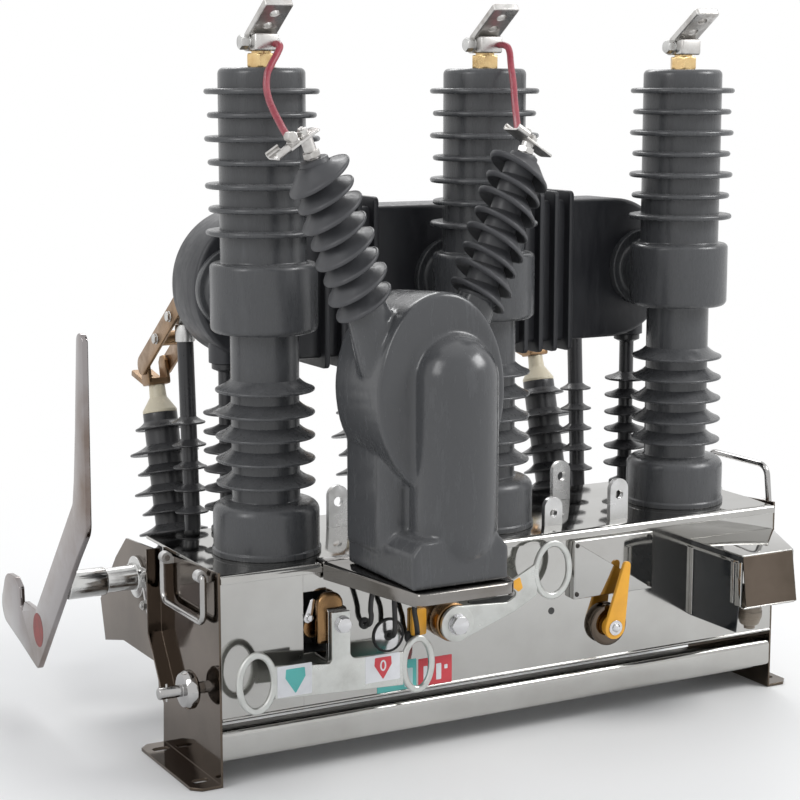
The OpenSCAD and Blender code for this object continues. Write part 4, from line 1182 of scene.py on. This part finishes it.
white_film = vinyl("white_film", (0.74, 0.75, 0.77))
teal_film = vinyl("teal_film", (0.1, 0.47, 0.44))
red_film = vinyl("red_film", (0.6, 0.05, 0.065))
pale_film = vinyl("pale_film", (0.5, 0.66, 0.67))
bar_front = plate_y[1]
panel_front = wall_y - middle


def film(outline, base, layer=1):
    """A sheet of film in front of a face, one layer of 0.3 mm over another."""
    return frontal(np.array(outline, float), base - 0.3 * layer + 0.28, base - 0.3 * layer, 0.05)


def shield(centre, scale=1.0):
    """Five-sided shield with its point down."""
    return np.array(centre) + scale * rounded([(-13.5, 16), (-14.5, 4), (0, -18), (14.5, 4),
                                               (13.5, 16)], 1.2, 3)


piece("white_marks", [
    film(rectangle((-388, 121), (-338, 163)), bar_front),
    film(rectangle((-259, 121), (-207, 158)), bar_front),
    oval_band((-232.5, 143.0), 4.6, 7.6, 2.2, bar_front - 0.62, bar_front - 0.9, 40, 0.03)],
    white_film, "pull_rocker", "polished_steel")
piece("sticker_marks", [
    film(rectangle((-152, 99), (-146, 121), 1), panel_front, 2),
    film(rectangle((-132, 99), (-124, 122), 1), panel_front, 2),
    film(rectangle((-119, 113), (-114, 119), 1), panel_front, 2)],
    white_film, "housing", "polished_steel")
piece("teal_marks", [film(shield((-362, 142)), bar_front, 2)], teal_film, "pull_rocker",
      "polished_steel")
piece("red_marks", [film(shield((-232.5, 140), 0.9), bar_front, 2)], red_film, "pull_rocker",
      "polished_steel")
piece("red_sticker", [film(rectangle((-160, 91), (-107, 132)), panel_front)], red_film,
      "housing", "polished_steel")
piece("teal_sticker", [film(rectangle((-224, 91), (-163, 134)), panel_front)], teal_film,
      "housing", "polished_steel")
piece("sticker_panels", [film(rectangle((-182, 96), (-169, 122)), panel_front, 2)], pale_film,
      "housing", "polished_steel")

# --- latch, bracket, bosses and glands --------------------------------------------------------
# A pocket behind a window, its black a painted shade, holds the latch with its bronze arm. A
# folded bracket carries the rocker, bosses carry the other levers, and rubber-lipped glands take
# the cables.

bronze = metal("bronze", (0.27, 0.16, 0.075), 0.22, (0.15, 0.09, 0.045), size=25)
# Painted shade: this black stands for the shade in the latch pocket, and further on for the
# tray's shadow on the panel and the shade in a small hole.
painted_shade_black = coating("painted_shade_black", (0.03, 0.031, 0.03), (0.06, 0.06, 0.055), 0.4, 50, 300,
                       0.02, 2, 0.75)
outer = rectangle((window_low[0] + 0.2, window_low[2] + 0.2),
                  (window_high[0] - 0.2, window_high[2] - 0.2), 1)
inner = inset(outer, 2.8)
pocket_y = [window_high[1] - 3, panel_front + 3.2, panel_front + 3.2, window_high[1]]
piece("latch_pocket", [skin(np.array([
    np.stack([loop[:, 0], np.full(len(loop), y), loop[:, 1]], 1)
    for loop, y in zip((inner, inner, outer, outer), pocket_y)]))], painted_shade_black, "housing",
    "dark_steel", "latch_recess")
arm_outline = rectangle((-319, 178), (-281, 247), [4, 4, 17, 17], 8)
piece("latch_arm", [frontal(arm_outline, -101, -115, 5),
                    tube(3, 14, 0, 30, 2, (-317, -92, 196), (0, 1, 0), 48, 4)],
      bronze, "housing", "dark_steel")
piece("latch_pawl", [frontal(link(6, 4, 24, unit(np.array([0.3, 1.0])), (-328, 212)), -97, -103,
                             1.2),
                     *bolt((-327, -103, 214), (0, -1, 0), 8, 4)], chrome, "housing",
      "polished_steel")

bracket_section = bent_sheet([(-100.2, 155), (-120, 155), (-120, 225), (-100.2, 225)], 4, 5)
piece("lever_bosses", [
    along_x(bracket_section, -308, -280, 0.5),
    tube(5.2, 11, 0, 5.6, 0.6, ahead(rocker, -127.6), (0, 1, 0), 40),
    tube(8.2, 18, 0, 27.6, 1.2, ahead(charging, -127.7), (0, 1, 0), 56)],
    fitting_steel, "housing", "polished_steel", "lever_mounts")
boss = turned([(7, 0), (26, 0), (30, 2.5), (30, 6), (26, 7.5), (26, 11.9), (7, 11.9)],
              [0, 1, 1, 1, 1, 0.3, 0], 3, ahead(selector, -112), (0, 1, 0), 72)
# The boss takes the end plates' brown steel, a painted reflection.
piece("selector_boss", [boss], brown_reflection_steel, "housing", "dark_steel")
piece("spring_drum", [tube(19, 27, 0, 22, 2.5, ahead(charging, -123.5), (0, 1, 0), 64, 4)],
      bronze, "housing", "dark_steel")
piece("reset_tab", [frontal(rectangle((-174, 168), (-151, 205), 3, 4), -101, -107, 1)], yellow,
      "housing", "yellow_paint")

rubber_black = coating("rubber_black", (0.02, 0.02, 0.021), (0.045, 0.045, 0.045), 0.6, 80, 400,
                       0.02, 2)
cable_ends = np.array([routes[name][-1] for name in ("cable_1", "cable_2", "cable_3")])


def grommet(centre, radius):
    """Rubber ring about a cable: a half-round lip on the panel."""
    loop = np.array([(radius, 0), (radius, 1.6), (radius - 1, 3.4), (radius - 2.5, 4),
                     (3.8, 4), (3.8, 0)])
    ring = circle(1, 48) @ np.array([[1, 0, 0], [0, 0, 1]])
    return skin(np.array([centre[0], panel_front, centre[2]]) + loop[:, :1, None] * ring
                + loop[:, 1:, None] * np.array([0, -1, 0]), ring=True)


entry = np.array([-207, panel_front, 173])
ring_line = entry - (0, 1.4, 0) + circle(22.4, 64) @ np.array([[1, 0, 0], [0, 0, 1]])
piece("gland_rings", [*[grommet(end, radius) for end, radius in zip(cable_ends, (8, 8, 9))],
                      sweep(ring_line, circle(1.5, 10), (0, 1, 0), ring=True)],
      rubber_black, "housing", "gland", "cable_glands")
disc = turned([(9, 0), (21, 0), (21, 1.6), (9, 2.6)], 0.6, 3, entry, (0, -1, 0), 64)
piece("gland_disc", [disc], chrome, "housing", "polished_steel")

# --- cover plate and connector hood -----------------------------------------------------------
# A shallow folded cover is screwed over the wiring, beside a black wedge of painted shadow.
# The hood has one black coated cheek with steel strips, a bare top and a front that leans,
# in the end plates' brown painted reflection, and shelters a moulded connector plug.

cover_low, cover_high = corners("cover_plate")
cover_outline = rectangle((cover_low[0] - 5, cover_low[2]), (cover_high[0], cover_high[2]), 1.2)
piece("screwed_cover", [frontal(cover_outline, panel_front, panel_front - 12, 1.6)],
      panel_steel, "housing", "dark_steel", "cover_plate")
dark_screw = finish("dark_screw", (0.03, 0.03, 0.03), 0.35, metallic=1.0)
tint(dark_screw, pattern(dark_screw, 90, Detail=3), (0.09, 0.08, 0.07), 0.4, 0.7)
# Painted shadow: a thin black wedge stands for the tray's shadow and dark reflection on the
# panel, and a black ring for the shade in a small hole.
wedge = rounded([(-92, 204), (-30, 184), (-7, 183), (-7, 204)], 2, 3)
piece("shadow_wedge", [frontal(wedge, panel_front + 0.1, panel_front - 2, 0.4),
                     lathe([(1.5, 0), (5, 0), (5, 0.5), (1.5, 0.5)], (56, panel_front, 172),
                           (0, -1, 0), 24)], painted_shade_black, "housing", "dark_steel")
corner_screws = [(x, z) for x in (cover_low[0], cover_high[0] - 6)
                 for z in (cover_low[2] + 7, cover_high[2] - 7)]
screw_points = [(0.8, 0), (3.4, 0), (3.2, 1.4), (0.8, 2)]
piece("cover_screws", [turned(screw_points, [0, 0.2, 1, 0], 4, ahead(at, panel_front - 12),
                              (0, -1, 0), 24) for at in corner_screws], dark_screw, "housing",
      "dark_steel")

hood_low, hood_high = corners("connector_hood")
hood_left, hood_right = hood_low[0], hood_high[0]
hood_tip = hood_left + 92
hood_front = hood_low[1] + 6
hood_mouth = hood_low[2] + 38
black_coat = finish("black_coat", (0.008, 0.01, 0.012), 0.12)
coat_cloud = pattern(black_coat, 12, Detail=5, Roughness=0.6)
tint(black_coat, coat_cloud, (0.018, 0.022, 0.025), 0.45, 0.75)
feed(black_coat, "Roughness", ranged(black_coat, coat_cloud, 0.06, 0.2))
relief(black_coat, pattern(black_coat, 5, Detail=2), 0.4)
cheek = rounded([(panel_front, hood_low[2]), (-208, hood_low[2]), (-213, hood_mouth + 1),
                 (-219, hood_mouth + 1), (-219, hood_high[2] - 2),
                 (panel_front, hood_high[2] - 2)], 1, 3)
piece("hood_cheek", [along_x(cheek, hood_left, hood_left + 2, 0.4)], black_coat, "housing",
      "dark_steel", "connector_hood")
plan = rounded([(hood_left - 0.5, panel_front), (hood_left - 0.5, hood_front),
                (hood_tip, hood_front), (hood_right, panel_front)], [0.5, 2, 4, 0.5], 4)
right_side = np.array([(hood_right - 2, panel_front), (hood_tip - 2, hood_front + 1),
                       (hood_tip, hood_front), (hood_right, panel_front)])
strips = [((panel_front - 7, panel_front), (hood_low[2] + 2, hood_high[2] - 10)),
          ((-212, panel_front), (hood_high[2] - 13, hood_high[2] - 8.5)),
          ((-203, -196), (hood_mouth + 4, hood_high[2] - 10)),
          ((-219.5, -206), (hood_mouth + 2, hood_high[2] - 10))]
piece("hood_top", [extruded(plan, hood_high[2] - 2, hood_high[2], edge=0.8),
                   extruded(right_side, hood_mouth, hood_high[2] - 2),
                   box((hood_left, hood_front - 6, hood_mouth - 0.5),
                       (hood_tip, hood_front + 2, hood_mouth + 2.2), 0.9),
                   *[box((hood_left - 2, y[0], z[0]), (hood_left + 0.2, y[1], z[1]), 0.7)
                     for y, z in strips]], panel_steel, "housing", "polished_steel")


def leaning(outline, front, top, lean, thick):
    """A flat sheet that leans forward: its depth is front + lean (z - top)."""
    y = front + lean * (outline[:, 1] - top)
    return skin(np.array([np.stack([outline[:, 0], y + t, outline[:, 1]], 1)
                          for t in (0, thick)]))


face = rounded([(hood_left + 5, hood_mouth + 1), (hood_tip + 4, hood_mouth + 1),
                (hood_tip - 2, hood_high[2] - 2.2), (hood_left + 1, hood_high[2] - 2.2)], 1, 3)
# The front takes the end plates' brown steel, a painted reflection.
piece("hood_front", [leaning(face, hood_front, hood_high[2], 0.07, 1.8)], brown_reflection_steel, "housing",
      "polished_steel")

plug_top = corners("connector_plug")[1][2]
plug_plastic = epoxy("plug_plastic", (0.2, 0.165, 0.125), (0.3, 0.27, 0.22), 0.4)
plug_at = np.array([hood_left + 33, hood_front + 22, 0])
shell = turned([(6, hood_low[2] + 6), (12, hood_low[2] + 6), (14, hood_mouth - 30),
                (17, hood_mouth - 22), (17, hood_mouth + 2), (8, hood_mouth + 3)], 1.5, 4,
               plug_at, (0, 0, 1), 48)
flutes = [(9, hood_mouth - 26), (18.2, hood_mouth - 20), (18.2, hood_mouth - 12),
          (9, hood_mouth - 11)]
piece("plug_body", [shell, lathe(flutes, plug_at, (0, 0, 1), 12),
                    tube(3, 8, hood_low[2], hood_low[2] + 12, 1, plug_at, (0, 0, 1), 32),
                    box((hood_left + 12, hood_front + 2.4, hood_mouth + 2),
                        (hood_left + 54, hood_front + 42, plug_top - 0.4), 2.5)],
      plug_plastic, "housing", "gland", "connector_plug")

# --- lifting eyes and handles -----------------------------------------------------------------
# Plate eyes are welded on the top for the slings, and a bent round-bar handle swings in two
# welded eyes on each end.

eye_steel = metal("eye_steel", (0.62, 0.62, 0.62), 0.34, (0.5, 0.5, 0.49), size=30)
paint(eye_steel, "lifting_lugs", "handle_eyes")
handle_line = rounded([(-57, 0), (-73.8, 0), (-73.8, 62), (66.8, 62), (66.8, 0), (50, 0)],
                      [0, 4.6, 16, 16, 4.6, 0], 8, False)
along, out = handle_line.T
eye_x, eye_z = 465, 278
lean_in = np.radians(6)
left_bar = np.stack([np.full(len(out), -eye_x), along, eye_z - out], 1)
right_bar = np.stack([eye_x - out * np.sin(lean_in), along, eye_z + out * np.cos(lean_in)], 1)
for side, bar in (("left", left_bar), ("right", right_bar)):
    piece(side + "_bar", [sweep(bar, circle(4.5, 20))], fitting_steel, side + "_grip",
          "polished_steel", side + "_handle")
